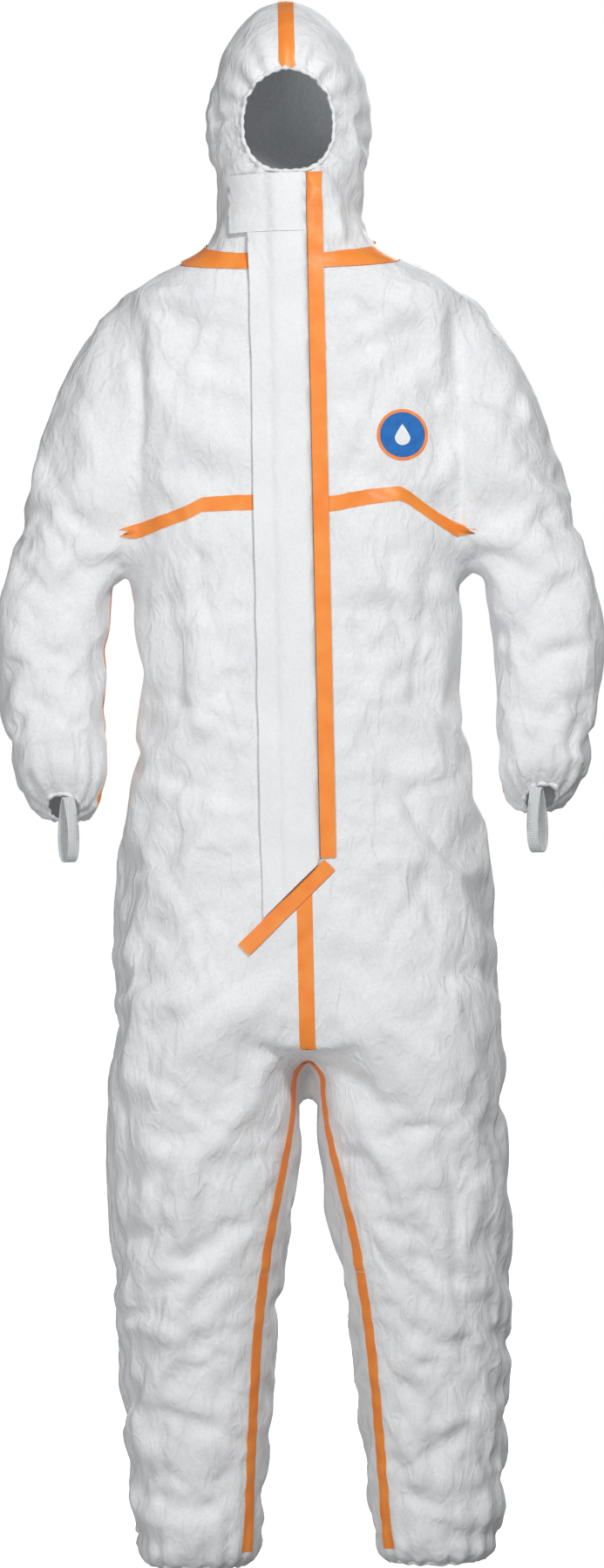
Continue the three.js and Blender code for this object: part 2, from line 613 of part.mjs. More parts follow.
// ---- waist elastic, glued inside across the back and sides ----
function waist() {
  const where = (u, v) => [mix(-0.5, Math.PI + 0.5, u), WAIST_Z + mix(-0.5, 0.5, v) * ELASTIC.width];
  const skins = { from: -WALL - 0.8 - ELASTIC.thick, to: -WALL - 0.8 };
  add("waist_elastic", panel(torsoPoint, where, 24, 1, skins), "elastic");
}

// ---- plain round chest badge: a rim and a raised face ----
function badge() {
  const disc = (radius, from, to) => {
    const where = (u, v) => {
      const [s, t] = [2 * u - 1, 2 * v - 1];
      const reach = Math.max(Math.abs(s), Math.abs(t)) * radius;
      const angle = Math.atan2(t, s);
      const [x, z] = [BADGE.x + reach * Math.cos(angle), BADGE.z + reach * Math.sin(angle)];
      return [torsoAngle(x, z), z];
    };
    return panel(torsoPoint, where, 8, 8, { from, to });
  };
  add("chest_badge_rim", disc(BADGE.radius, GAP, GAP + 0.5), "tape");
  add("chest_badge_face", disc(BADGE.radius - BADGE.rim, 2 * GAP + 0.5, 2 * GAP + 1), "badgeBlue");
}

collar();
yoke();
body();
torsoTapes();
flaps();
zip();
hood();
sleeves();
thumbLoops();
legs();
waist();
badge();

export default suit;
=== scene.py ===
# %% [markdown]
# A hooded coverall of white laminated nonwoven, with orange tape sealed over its seams.
# The suit hangs as it does on a wearer. Its panels are one limp skin, so the skin is made
# once, draped once, and only then cut into pieces; of the fabric and its tapes, only the
# trunk's pieces follow a moving body, the torso.

# %% Load the frame
import math
import time

import bmesh
import bpy
import numpy as np
from mathutils import Matrix, Vector, noise
from mathutils.bvhtree import BVHTree


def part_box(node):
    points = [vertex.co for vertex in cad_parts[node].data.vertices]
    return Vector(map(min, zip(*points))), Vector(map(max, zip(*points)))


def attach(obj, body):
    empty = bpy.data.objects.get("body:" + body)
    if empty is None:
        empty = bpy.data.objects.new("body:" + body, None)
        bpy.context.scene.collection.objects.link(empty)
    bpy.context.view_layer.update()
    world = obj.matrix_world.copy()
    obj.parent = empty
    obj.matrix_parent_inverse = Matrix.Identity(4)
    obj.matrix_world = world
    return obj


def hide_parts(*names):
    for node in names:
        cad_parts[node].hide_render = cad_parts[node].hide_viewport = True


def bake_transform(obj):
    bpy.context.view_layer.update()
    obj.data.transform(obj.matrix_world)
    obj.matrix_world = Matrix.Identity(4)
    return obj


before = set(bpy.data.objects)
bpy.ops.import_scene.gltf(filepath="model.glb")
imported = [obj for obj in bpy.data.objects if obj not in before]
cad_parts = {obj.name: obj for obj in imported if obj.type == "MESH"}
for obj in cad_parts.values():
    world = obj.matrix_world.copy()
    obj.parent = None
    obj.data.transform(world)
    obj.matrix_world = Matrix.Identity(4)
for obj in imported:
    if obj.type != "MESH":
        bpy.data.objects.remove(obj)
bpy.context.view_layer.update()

started = time.time()


# %% [markdown]
# Everything is measured on the frame. A level cut through some of its nodes says how wide
# and how deep the suit is at a height, and those cuts are all that the skin is drawn from.

# %% Measuring the frame
MM = 0.001
SIDES = {"left": 1, "right": -1}


def both(*stems):
    """The names of left and right nodes."""
    return [f"{stem}_{side}" for stem in stems for side in SIDES]


def edge_ends(node):
    """Both ends of every edge of a CAD node, as two arrays."""
    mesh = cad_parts[node].data
    points = np.array([v.co for v in mesh.vertices], float)
    pairs = np.array([e.vertices for e in mesh.edges], int)
    return points[pairs[:, 0]], points[pairs[:, 1]]


def level_cut(nodes, z):
    """(low x, high x, low y, high y) where the plane at height z cuts the nodes."""
    found = []
    for node in nodes:
        if node not in EDGES:
            EDGES[node] = edge_ends(node)
        a, b = EDGES[node]
        crossing = (a[:, 2] - z) * (b[:, 2] - z) < 0
        a, b = a[crossing], b[crossing]
        share = ((z - a[:, 2]) / (b[:, 2] - a[:, 2]))[:, None]
        found.append(a + (b - a) * share)
    points = np.concatenate(found)
    return points[:, 0].min(), points[:, 0].max(), points[:, 1].min(), points[:, 1].max()


EDGES = {}
TRUNK_NODES = both("collar", "yoke_front", "body") + ["yoke_back"]
collar_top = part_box("collar_left")[1].z
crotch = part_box("body_left")[0].z
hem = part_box("shin_left")[0].z
face_low, face_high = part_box("face_elastic")
print("collar top %.3f, crotch %.3f, hem %.3f" % (collar_top, crotch, hem))


# %% [markdown]
# Each tube of the suit (trunk, hood, sleeve, leg) is a stack of rings. A ring is a
# superellipse: with a power of 2 it is an ellipse, and a higher power squares it.

# %% Tubes from level cuts
RING = 72


def deselect():
    bpy.ops.object.select_all(action="DESELECT")


def activate(obj):
    deselect()
    obj.select_set(True)
    bpy.context.view_layer.objects.active = obj


def mesh_object(name, points, faces):
    mesh = bpy.data.meshes.new(name)
    mesh.from_pydata([tuple(p) for p in points], [], [tuple(f) for f in faces])
    mesh.update()
    obj = bpy.data.objects.new(name, mesh)
    bpy.context.collection.objects.link(obj)
    return obj


def ring(z, cut, power):
    x0, x1, y0, y1 = cut
    turn = np.linspace(0, 2 * math.pi, RING, endpoint=False)
    c, s = np.cos(turn), np.sin(turn)
    x = (x0 + x1) / 2 + (x1 - x0) / 2 * np.sign(c) * np.abs(c) ** (2 / power)
    y = (y0 + y1) / 2 + (y1 - y0) / 2 * np.sign(s) * np.abs(s) ** (2 / power)
    return np.stack([x, y, np.full(RING, z)], 1)


def tube(name, rings):
    """A closed tube through rings that run downwards."""
    points = np.concatenate(rings)
    faces = []
    for j in range(len(rings) - 1):
        for i in range(RING):
            k = (i + 1) % RING
            faces.append((j * RING + i, (j + 1) * RING + i, (j + 1) * RING + k, j * RING + k))
    faces.append(range(RING))
    faces.append(range(len(points) - 1, len(points) - 1 - RING, -1))
    return mesh_object(name, points, faces)


def mix(a, b, t):
    return a + (b - a) * min(max(t, 0.0), 1.0)


# %% Trunk and hood
ARMHOLE_TOP = -0.03
SEAT_DROP = 0.04  # how far the seat is rounded down between the legs
ARMPIT = -0.324


def trunk_tube():
    heights = list(np.arange(collar_top, -0.05, -0.005)) + list(np.arange(-0.05, crotch + 0.004, -0.02))
    rings = []
    for z in heights:
        beside_armhole = 3.1 if ARMPIT < z < ARMHOLE_TOP else mix(2.5, 3.3, (-0.6 - z) / 0.25)
        power = mix(beside_armhole, 2.1, z / 0.06)
        rings.append(ring(z, level_cut(TRUNK_NODES, z - 0.0007), power))
    seat = level_cut(TRUNK_NODES, crotch + 0.001)
    middle = (seat[2] + seat[3]) / 2
    for t in (0.3, 0.55, 0.75, 0.9):
        keep = math.sqrt(1 - t * t)
        cut = (seat[0] * keep, seat[1] * keep, mix(middle, seat[2], keep), mix(middle, seat[3], keep))
        rings.append(ring(crotch - t * SEAT_DROP, cut, 3.0))
    return tube("trunk", rings)


def hood_tube():
    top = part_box("hood_left")[1].z
    heights = [collar_top + (top - collar_top - 0.001) * (1 - (1 - t) ** 1.6) for t in np.linspace(1, 0.01, 26)]
    cuts = [level_cut(both("hood"), z) for z in heights]
    return tube("hood", [ring(z, cut, 2.1) for z, cut in zip(heights, cuts)])


# %% Sleeves and legs
INTO_TRUNK = 0.15  # a sleeve's rings start here, so that it runs into the trunk
LEG_GAP = 0.010  # from the middle to the inside of a leg, just enough for the remesh to keep them apart


def sleeve_tube(side, sign):
    nodes = [f"upper_sleeve_{side}", f"lower_sleeve_{side}"]
    rings = []
    for z in np.arange(ARMHOLE_TOP, -0.624, -0.008):
        x0, x1, y0, y1 = level_cut(nodes, z + 0.0003)
        if z > ARMPIT:
            x0, x1 = (INTO_TRUNK, x1) if sign > 0 else (x0, -INTO_TRUNK)
        rings.append(ring(z, (x0, x1, y0, y1), 2.2))
    return tube("sleeve", rings)


def leg_tube(side, sign):
    nodes = [f"thigh_{side}", f"shin_{side}"]
    rings = []
    for z in np.arange(crotch + 0.04, hem - 0.001, -0.015):
        x0, x1, y0, y1 = level_cut(nodes, min(max(z, hem + 0.001), crotch - 0.001) + 0.0004)
        if z < crotch - SEAT_DROP:
            x0, x1 = (max(x0, LEG_GAP), x1) if sign > 0 else (x0, min(x1, -LEG_GAP))
        cut = (x0, x1, y0, y1)
        power = mix(2.6, 2.3, (crotch - z) / 0.12)
        rings.append(ring(z, cut, power))
    rings.append(ring(hem, level_cut(nodes, hem + 0.0005), 2.3))
    return tube("leg", rings)


tubes = [trunk_tube(), hood_tube()]
tubes += [sleeve_tube(side, sign) for side, sign in SIDES.items()]
tubes += [leg_tube(side, sign) for side, sign in SIDES.items()]
print("tubes:", [len(t.data.vertices) for t in tubes])


# %% [markdown]
# The tubes are joined and remeshed into one skin of even squares, which is what a cloth
# simulation likes best. Smoothing rounds the steps that are left where two tubes meet.

# %% One even skin
VOXEL = 0.012


def apply_modifier(obj, kind, **settings):
    activate(obj)
    modifier = obj.modifiers.new(kind.lower(), kind)
    for key, value in settings.items():
        setattr(modifier, key, value)
    bpy.ops.object.modifier_apply(modifier=modifier.name)


deselect()
for part in tubes:
    part.select_set(True)
bpy.context.view_layer.objects.active = tubes[0]
bpy.ops.object.join()
skin = tubes[0]
skin.name = "skin"
apply_modifier(skin, "REMESH", mode="VOXEL", voxel_size=VOXEL)
apply_modifier(skin, "SMOOTH", factor=0.5, iterations=6)
print("skin:", len(skin.data.vertices), "points, %.1f s" % (time.time() - started))


# %% [markdown]
# The skin is opened at the face, the cuffs and the ankles. An edge that is left by deleted
# squares is ragged, so its points are moved onto the true line of the opening.

# %% Openings
FACE_REACH = 5 * MM  # how far the elastic's cord stands outside the edge of the opening
face_centre = (face_low + face_high) / 2
face_half = (face_high - face_low) / 2 - Vector((FACE_REACH, 0, FACE_REACH))
CUFF_TILT = 0.7  # the cuffs face down and forwards, in radians


def face_ratio(x, z):
    """1 on the edge of the face opening, less inside it. Its lower edge is the flatter one."""
    power = 2.0 if z > face_centre.z else 2.5
    across = abs(x / face_half.x) ** power
    up = abs((z - face_centre.z) / face_half.z) ** power
    return (across + up) ** (1 / power)


def cuff_plane(sign):
    low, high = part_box("lower_sleeve_left" if sign > 0 else "lower_sleeve_right")
    elastic_low, elastic_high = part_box("wrist_elastic_left" if sign > 0 else "wrist_elastic_right")
    middle = (elastic_low + elastic_high) / 2
    normal = Vector((0, -math.sin(CUFF_TILT), -math.cos(CUFF_TILT)))
    return Vector((middle.x, middle.y, middle.z - 4 * MM)), normal


CUFFS = {sign: cuff_plane(sign) for sign in SIDES.values()}


def delete_faces(obj, doomed):
    """Deletes each face whose centre the test accepts, and the points left loose."""
    bm = bmesh.new()
    bm.from_mesh(obj.data)
    faces = [f for f in bm.faces if doomed(f.calc_center_median(), f.normal)]
    bmesh.ops.delete(bm, geom=faces, context="FACES")
    bm.to_mesh(obj.data)
    bm.free()
    return len(faces)


def bisect(obj, point, normal, near, clear=False, seam=False):
    """Cuts the faces that the test accepts along a plane, clears what lies beyond it, or marks the cut as a seam."""
    bm = bmesh.new()
    bm.from_mesh(obj.data)
    faces = [f for f in bm.faces if near(f.calc_center_median())]
    geometry = list({v for f in faces for v in f.verts}) + list({e for f in faces for e in f.edges}) + faces
    cut = bmesh.ops.bisect_plane(bm, geom=geometry, dist=1e-5, plane_co=point, plane_no=normal, clear_outer=clear)
    for part in cut["geom_cut"]:
        if seam and isinstance(part, bmesh.types.BMEdge):
            part.seam = True
    bm.to_mesh(obj.data)
    bm.free()


bisect(skin, Vector((0, 0, hem)) + Vector((0, 0, 1.5 * MM)), Vector((0, 0, -1)), lambda c: c.z < hem + 0.02, True)
for sign in SIDES.values():
    point, normal = CUFFS[sign]
    bisect(skin, point, normal, lambda c: c.x * sign > 0.2 and -0.66 < c.z < -0.54, True)
delete_faces(skin, lambda c, n: c.y < 0 and face_ratio(c.x, c.z) < 0.97)
bm = bmesh.new()
bm.from_mesh(skin.data)
for v in bm.verts:
    if v.is_boundary and v.co.y < 0 and v.co.z > 0.05:
        ratio = face_ratio(v.co.x, v.co.z)
        v.co.x /= ratio
        v.co.z = face_centre.z + (v.co.z - face_centre.z) / ratio
bm.to_mesh(skin.data)
bm.free()
print("opened skin:", len(skin.data.vertices), "points")


# %% [markdown]
# The fabric is draped by a cloth simulation. A copy of the skin, drawn in a little, stands in
# for the wearer. The cloth is made a few per cent too large for its shape, as a real suit is,
# so it settles into folds. The zip and its flaps, the badge, the face, the cuffs and the
# ankles are held.

# %% Points that the drape holds
ZIP_HALF = 15 * MM
FLAP_ROOM = 5 * MM  # how far the held strip reaches past the flaps
zip_foot, zip_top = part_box("zip_tape_left")[0].z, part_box("zip_tape_left")[1].z
badge_low, badge_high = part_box("chest_badge_rim")
badge_centre = (badge_low + badge_high) / 2
badge_radius = (badge_high.x - badge_low.x) / 2
flap_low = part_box("storm_flap")[0]
chin_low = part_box("chin_flap")[0]
seam_tape_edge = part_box("flap_seam_tape")[1].x


def tree_of(nodes):
    points, faces = [], []
    for node in nodes:
        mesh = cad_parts[node].data
        start = len(points)
        points += [v.co.copy() for v in mesh.vertices]
        faces += [[start + i for i in polygon.vertices] for polygon in mesh.polygons]
    return BVHTree.FromPolygons(points, faces)


TAPES = both("neck_tape", "chest_tape", "upper_sleeve_tape", "lower_sleeve_tape", "thigh_tape", "shin_tape")
TAPES += ["back_yoke_tape", "centre_back_tape", "collar_back_tape", "front_rise_tape", "flap_seam_tape"]
TAPES += ["flap_foot_tape", "hood_centre_tape"]
TAPE_STIFFNESS = 0.75  # a taped seam creases less than the fabric beside it
tape_tree = tree_of(TAPES)


def held(p):
    """1 where the fabric is held fast, 0 where it is free."""
    hold = 0.0
    from_tape = tape_tree.find_nearest(p, 0.035)[3]
    if from_tape is not None:
        hold = TAPE_STIFFNESS * (1 - (from_tape - 4 * MM) / 0.028)
    if p.y < 0 and p.z > 0.06:
        hold = max(hold, 1 - (face_ratio(p.x, p.z) - 1) * face_half.x / 0.025)
    if p.y < -0.03 and p.z > flap_low.z - 0.01:
        low = chin_low.x if p.z > chin_low.z - 0.01 else flap_low.x if p.z < chin_low.z - 0.004 else chin_low.x
        beyond = max(low - FLAP_ROOM - p.x, p.x - seam_tape_edge - 2 * MM, 0)
        hold = max(hold, 1 - beyond / 0.03)
    if p.y < -0.03:
        from_badge = math.hypot(p.x - badge_centre.x, p.z - badge_centre.z)
        hold = max(hold, 1 - (from_badge - badge_radius) / 0.035)
    hold = max(hold, 1 - (p.z - hem - 0.006) / 0.02)
    hold = max(hold, 0.9 - math.hypot(p.x, p.z - crotch + SEAT_DROP + 0.02) / 0.06)
    if abs(p.x) > 0.2 and p.z > -0.66:
        point, normal = CUFFS[1 if p.x > 0 else -1]
        hold = max(hold, 1 - (-(p - point).dot(normal) - 0.006) / 0.02)
    return min(max(hold, 0.0), 1.0)


# %% Draping
DRAPE_FRAMES = 20
LARGEST_SHIFT = 11 * MM
BODY_INSET = 8 * MM
GROWTH = 0.045  # the cloth is this much too large
TAKEN_IN = 0.75  # share of the drape's swelling that is taken back


def points_of(obj):
    return np.array([v.co for v in obj.data.vertices], float)


def normals_of(obj):
    return np.array([v.normal for v in obj.data.vertices], float)


def set_points(obj, points):
    obj.data.vertices.foreach_set("co", points.ravel())
    obj.data.update()


def drape(obj):
    base, normals = points_of(obj), normals_of(obj)
    hold = np.array([held(v.co) for v in obj.data.vertices])
    body = obj.copy()
    body.data = obj.data.copy()
    bpy.context.collection.objects.link(body)
    apply_modifier(body, "DISPLACE", strength=-BODY_INSET, mid_level=0.0)
    body.modifiers.new("collision", "COLLISION")
    body.collision.thickness_outer = 1 * MM
    body.collision.cloth_friction = 12
    group = obj.vertex_groups.new(name="held")
    for v in obj.data.vertices:
        v.co += Vector(noise.noise_vector(v.co * 17)) * 1.5 * MM * (1 - hold[v.index])
        group.add([v.index], hold[v.index], "REPLACE")
    activate(obj)
    cloth = obj.modifiers.new("cloth", "CLOTH")
    settings = cloth.settings
    settings.quality = 4
    settings.mass = 0.2
    settings.tension_stiffness = settings.compression_stiffness = 20
    settings.shear_stiffness = 8
    settings.bending_stiffness = 1.2
    settings.vertex_group_mass = "held"
    settings.shrink_min = settings.shrink_max = -GROWTH
    settings.effector_weights.gravity = 0.1
    cloth.collision_settings.collision_quality = 2
    cloth.collision_settings.distance_min = 1 * MM
    cloth.point_cache.frame_end = DRAPE_FRAMES
    scene = bpy.context.scene
    for frame_number in range(1, DRAPE_FRAMES + 1):
        scene.frame_set(frame_number)
    draped = obj.evaluated_get(bpy.context.evaluated_depsgraph_get())
    points = np.array([v.co for v in draped.data.vertices])
    obj.modifiers.remove(cloth)
    obj.vertex_groups.clear()
    bpy.data.objects.remove(body)
    scene.frame_set(1)
    shift = points - base
    outward = (shift * normals).sum(axis=1)
    shift -= normals * (TAKEN_IN * np.median(outward) * (1 - hold))[:, None]
    length = np.linalg.norm(shift, axis=1, keepdims=True)
    set_points(obj, base + shift * np.minimum(1, LARGEST_SHIFT / np.maximum(length, 1e-9)))
    print("drape: largest shift %.2f mm, mean %.4f mm" % (length.max() / MM, length.mean() / MM))


drape(skin)
apply_modifier(skin, "SUBSURF", levels=1, render_levels=1)
print("draped: %d points, %.1f s" % (len(skin.data.vertices), time.time() - started))


# %% [markdown]
# The simulation gives the large folds. The laminate also crumples like paper, into short
# ridges with flat facets between them, most of all low on the sleeves and the legs. Those are
# pushed in with a ridged noise, and the elastic at each opening gathers the edge into pleats.

# %% Crumples and gathers
RIDGE_SPACING = (0.055, 0.026)  # metres between ridges, large and small
RIDGE_HEIGHT = (1.5 * MM, 1.3 * MM)
legs_middle = {sign: (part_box(f"shin_{side}")[0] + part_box(f"shin_{side}")[1]) / 2 for side, sign in SIDES.items()}


def ridged(p, spacing):
    """1 on a ridge, falling to about 0 between the ridges."""
    return 1 - 2.4 * abs(noise.noise(Vector((p.x, p.y, 0.55 * p.z)) / spacing))


def gather(distance, reach, angle, count, depth, p):
    """Pleats beside a gathered edge: deepest a little way in, gone at the reach."""
    t = min(max(distance / reach, 0.0), 1.0)
    return depth * math.cos(count * angle + 2.5 * noise.noise(p * 14)) * (1 - t) ** 1.5


NECK_FRONT, NECK_BACK = Vector((0, -0.095, -0.010)), Vector((0, 0.076, 0.026))
NECK_CREASE = 7 * MM  # how far the collar is drawn in just above its seam


def neck_line(y):
    """The height of the neck seam, which rises from front to back."""
    return NECK_FRONT.z + (y - NECK_FRONT.y) * (NECK_BACK.z - NECK_FRONT.z) / (NECK_BACK.y - NECK_FRONT.y)


def crumple(p):
    free = 1 - held(p)
    low = max(mix(0, 1, (-0.95 - p.z) / 0.35), mix(0, 0.8, (abs(p.x) - 0.19) / 0.04) * mix(0, 1, (-0.15 - p.z) / 0.2))
    push = sum(h * (ridged(p, s) - 0.45) for s, h in zip(RIDGE_SPACING, RIDGE_HEIGHT)) * (0.4 + 0.7 * low) * free
    above = p.z - neck_line(p.y)
    if -0.05 < above < 0.06:
        push -= NECK_CREASE * math.exp(-(((above - 0.010) / 0.014) ** 2)) * (1 - 0.7 * held(p))
    side = 1 if p.x > 0 else -1
    if p.y < 0.03 and p.z > 0.07:
        angle = math.atan2(p.x, p.z - face_centre.z)
        push += gather((face_ratio(p.x, p.z) - 1) * face_half.x, 0.075, angle, 19, 3.2 * MM, p)
    if p.z < hem + 0.12:
        angle = math.atan2(p.x - legs_middle[side].x, p.y - legs_middle[side].y)
        push += gather(p.z - hem, 0.10, angle, 19, 2.2 * MM, p)
    if abs(p.x) > 0.2 and p.z < -0.5:
        point, normal = CUFFS[side]
        angle = math.atan2(p.x - point.x, p.y - point.y)
        push += gather(-(p - point).dot(normal), 0.07, angle, 13, 2.0 * MM, p)
    return push


# Long creases on the front, as (x, z) of both ends and the depth, all in millimetres.
CREASES = [
    (-69, -24, -104, -225, 2.6), (-86, -30, -142, -160, 2.4), (-60, -40, -72, -250, 1.8), (-164, -30, -173, -290, 4.5),
    (-120, -60, -160, -240, 1.6), (60, -30, 96, -130, 1.8), (90, -28, 150, -120, 1.6), (176, -50, 186, -290, 3.2),
    (104, -296, 116, -470, 2.4), (150, -330, 120, -520, 2.2), (60, -330, 84, -560, 1.6), (-117, -305, -78, -505, 2.8),
    (-150, -340, -120, -560, 2.4), (-70, -290, -100, -400, 1.8), (-172, -470, -60, -520, 2.4), (172, -480, 70, -505, 2.0),
    (-180, -560, -70, -600, 2.0), (180, -570, 60, -620, 1.8), (-160, -640, -90, -800, 2.6), (150, -650, 70, -790, 2.2),
    (-60, -790, -170, -860, 2.4), (60, -800, 180, -900, 2.4), (-190, -880, -90, -960, 2.4), (-150, -930, -180, -1120, 2.8),
    (-110, -960, -130, -1180, 2.6), (190, -930, 120, -1010, 2.2), (150, -960, 170, -1240, 3.0), (110, -1000, 130, -1170, 2.2),
    (-190, -1150, -100, -1210, 3.0), (-180, -1260, -80, -1300, 3.0), (-170, -1330, -100, -1400, 2.6), (-120, -1200, -150, -1330, 2.4),
    (190, -1190, 100, -1230, 2.2), (180, -1290, 90, -1340, 2.6), (140, -1250, 120, -1400, 2.6),
    (-300, -260, -230, -350, 3.0), (-310, -330, -240, -400, 3.2), (-320, -400, -250, -440, 3.2), (-290, -180, -240, -300, 2.4),
    (-310, -470, -240, -520, 2.8), (-250, -120, -200, -230, 2.2), (300, -270, 230, -340, 2.8), (318, -350, 250, -400, 3.0),
    (322, -430, 260, -450, 2.6), (300, -480, 250, -560, 2.6), (260, -130, 220, -240, 2.2), (-84, 215, -50, 165, 3.0),
    (-92, 180, -56, 140, 3.2), (-90, 145, -54, 118, 3.0), (-80, 105, -48, 92, 2.4), (84, 190, 56, 160, 2.2),
    (88, 140, 56, 130, 2.2), (-78, 80, -70, 20, 2.2), (76, 80, 72, 10, 2.4), (50, 240, 40, 215, 1.6), (-55, 245, -40, 215, 2.0),
]
CREASE_HALF = 7 * MM  # half the width of a crease, and the welt beside it is twice as wide


def creases(points, normals):
    """How far each front point is pushed: in along a crease, out along the welt beside it."""
    push = np.zeros(len(points))
    front = np.clip(-normals[:, 1] * 2.5, 0, 1)
    wobble = np.array([noise.noise(Vector(p) * 16) for p in points]) * 7 * MM
    for x0, z0, x1, z1, depth in CREASES:
        start, way = np.array([x0, z0]) * MM, np.array([x1 - x0, z1 - z0]) * MM
        length = np.hypot(*way)
        rel = points[:, [0, 2]] - start
        t = rel @ way / length**2
        beside = (rel[:, 0] * way[1] - rel[:, 1] * way[0]) / length + wobble
        taper = np.clip(1 - (2 * t - 1) ** 4, 0, 1) * (t > 0) * (t < 1)
        dent = np.exp(-((beside / CREASE_HALF) ** 2)) - 0.7 * np.exp(-(((beside - 2.4 * CREASE_HALF) / (1.4 * CREASE_HALF)) ** 2))
        push -= depth * MM * dent * taper * front
    return push


skin_normals = normals_of(skin)
push = np.array([crumple(v.co) for v in skin.data.vertices])
free = np.array([1 - held(v.co) for v in skin.data.vertices])
push += creases(points_of(skin), skin_normals) * np.clip(free * 1.6, 0, 1)
set_points(skin, points_of(skin) + skin_normals * push[:, None])
print("crumples: %.1f to %.1f mm, %.1f s" % (push.min() / MM, push.max() / MM, time.time() - started))


# %% [markdown]
# The flaps, the zip and the badge keep the places that the frame gives them, so the fabric
# behind the flaps is pushed back wherever a fold would come through.

# %% Room behind the flaps
BEHIND_FLAP = 1.2 * MM


def push_behind(obj, nodes, room):
    """Moves points that stand in front of the nodes' backs to just behind them."""
    tree = tree_of(nodes)
    moved = 0
    for v in obj.data.vertices:
        if v.co.y < -0.03:
            hit = tree.ray_cast(Vector((v.co.x, 0, v.co.z)), Vector((0, -1, 0)))[0]
            if hit and v.co.y < hit.y + room:
                v.co.y = hit.y + room
                moved += 1
    obj.data.update()
    return moved


FLAP_NODES = ["storm_flap", "chin_flap", "storm_flap_adhesive", "chin_flap_adhesive"]
print("pushed back:", push_behind(skin, FLAP_NODES, BEHIND_FLAP), "points")


# %% [markdown]
# Every visible surface gets its own finish. One function turns a hex colour to the linear
# numbers that Blender wants, and one adds a node with its settings and its links.

# %% Node helpers
def linear(hex_colour):
    channels = [int(hex_colour[i : i + 2], 16) / 255 for i in (1, 3, 5)]
    return tuple(c / 12.92 if c <= 0.04045 else ((c + 0.055) / 1.055) ** 2.4 for c in channels) + (1.0,)


def add_node(tree, kind, settings=None, **links):
    """Adds a node. A link's value is another node's output, or a plain value for the input."""
    node = tree.nodes.new("ShaderNode" + kind)
    for key, value in (settings or {}).items():
        setattr(node, key, value)
    for key, value in links.items():
        socket = node.inputs[int(key[1:])] if key[0] == "i" and key[1:].isdigit() else node.inputs[key.replace("_", " ")]
        if isinstance(value, bpy.types.NodeSocket):
            tree.links.new(value, socket)
        else:
            socket.default_value = value
    return node


def new_finish(name, **values):
    """A material with its Principled shader, and the Object coordinates in metres."""
    material = bpy.data.materials.new(name)
    material.use_nodes = True
    tree = material.node_tree
    shader = tree.nodes["Principled BSDF"]
    for key, value in values.items():
        shader.inputs[key.replace("_", " ")].default_value = value
    place = add_node(tree, "TexCoord").outputs["Object"]
    return material, tree, shader, place


def per_metre(millimetres):
    """The scale of a pattern whose repeat is this long."""
    return 1000 / millimetres


# %% [markdown]
# The fabric is a spunbonded polypropylene laminated with a microporous film. It is matt and
# very white, with a faint cloud of fibres a few millimetres across, and it creases like
# paper: long creases about 30 mm apart, with finer ones of about 13 mm among them.
# The real fibres are far too fine to show, so their cloud is drawn at 3 mm.

# %% Laminated nonwoven, outside and inside
def nonwoven(name, light, dark, roughness, crease):
    material, tree, shader, place = new_finish(name, Roughness=roughness)
    shader.inputs["Specular IOR Level"].default_value = 0.3
    shader.inputs["Sheen Weight"].default_value = 0.08
    fibres = add_node(tree, "TexNoise", Vector=place, Scale=per_metre(3), Detail=4.0)
    clouds = add_node(tree, "TexNoise", Vector=place, Scale=per_metre(60), Detail=3.0)
    both_clouds = add_node(tree, "Math", {"operation": "ADD"}, i0=fibres.outputs["Fac"], i1=clouds.outputs["Fac"])
    ramp = add_node(tree, "ValToRGB", Fac=add_node(tree, "Math", {"operation": "MULTIPLY"}, i0=both_clouds.outputs[0], i1=0.5).outputs[0])
    ramp.color_ramp.elements[0].position, ramp.color_ramp.elements[0].color = 0.35, linear(dark)
    ramp.color_ramp.elements[1].position, ramp.color_ramp.elements[1].color = 0.62, linear(light)
    tree.links.new(ramp.outputs["Color"], shader.inputs["Base Color"])
    stretched = add_node(tree, "VectorMath", {"operation": "MULTIPLY"}, i0=place, i1=(1.0, 1.0, 0.55))
    height = None
    for size, share in ((34, 1.0), (13, 0.45)):
        folds = add_node(tree, "TexNoise", Vector=stretched.outputs[0], Scale=per_metre(size), Detail=1.0, Distortion=0.5)
        level = add_node(tree, "Math", {"operation": "SUBTRACT"}, i0=folds.outputs["Fac"], i1=0.5)
        away = add_node(tree, "Math", {"operation": "ABSOLUTE"}, i0=level.outputs[0])
        soft = add_node(tree, "MapRange", {"interpolation_type": "SMOOTHERSTEP"}, Value=away.outputs[0], From_Max=0.16)
        scaled = add_node(tree, "Math", {"operation": "MULTIPLY"}, i0=soft.outputs[0], i1=-share)
        if height:
            scaled = add_node(tree, "Math", {"operation": "ADD"}, i0=height, i1=scaled.outputs[0])
        height = scaled.outputs[0]
    creases = add_node(tree, "Bump", Strength=crease, Distance=1.6 * MM, Height=height)
    fuzz = add_node(tree, "Bump", Strength=0.25, Distance=0.25 * MM, Height=fibres.outputs["Fac"], Normal=creases.outputs[0])
    tree.links.new(fuzz.outputs[0], shader.inputs["Normal"])
    return material


laminate = nonwoven("spunbonded laminate, outer face", "#f3f4f5", "#e5e7ea", 0.62, 0.5)
# The inner face's greys are painted shade, for the shade inside the hollow suit.
inner_face_painted_shade_and_glow = nonwoven("spunbonded laminate, inner face, painted shade and glow", "#c4c7ca", "#aeb2b5", 0.8, 0.3)
flap_face = nonwoven("spunbonded laminate, flat flap", "#f3f4f5", "#e9ebed", 0.6, 0.22)
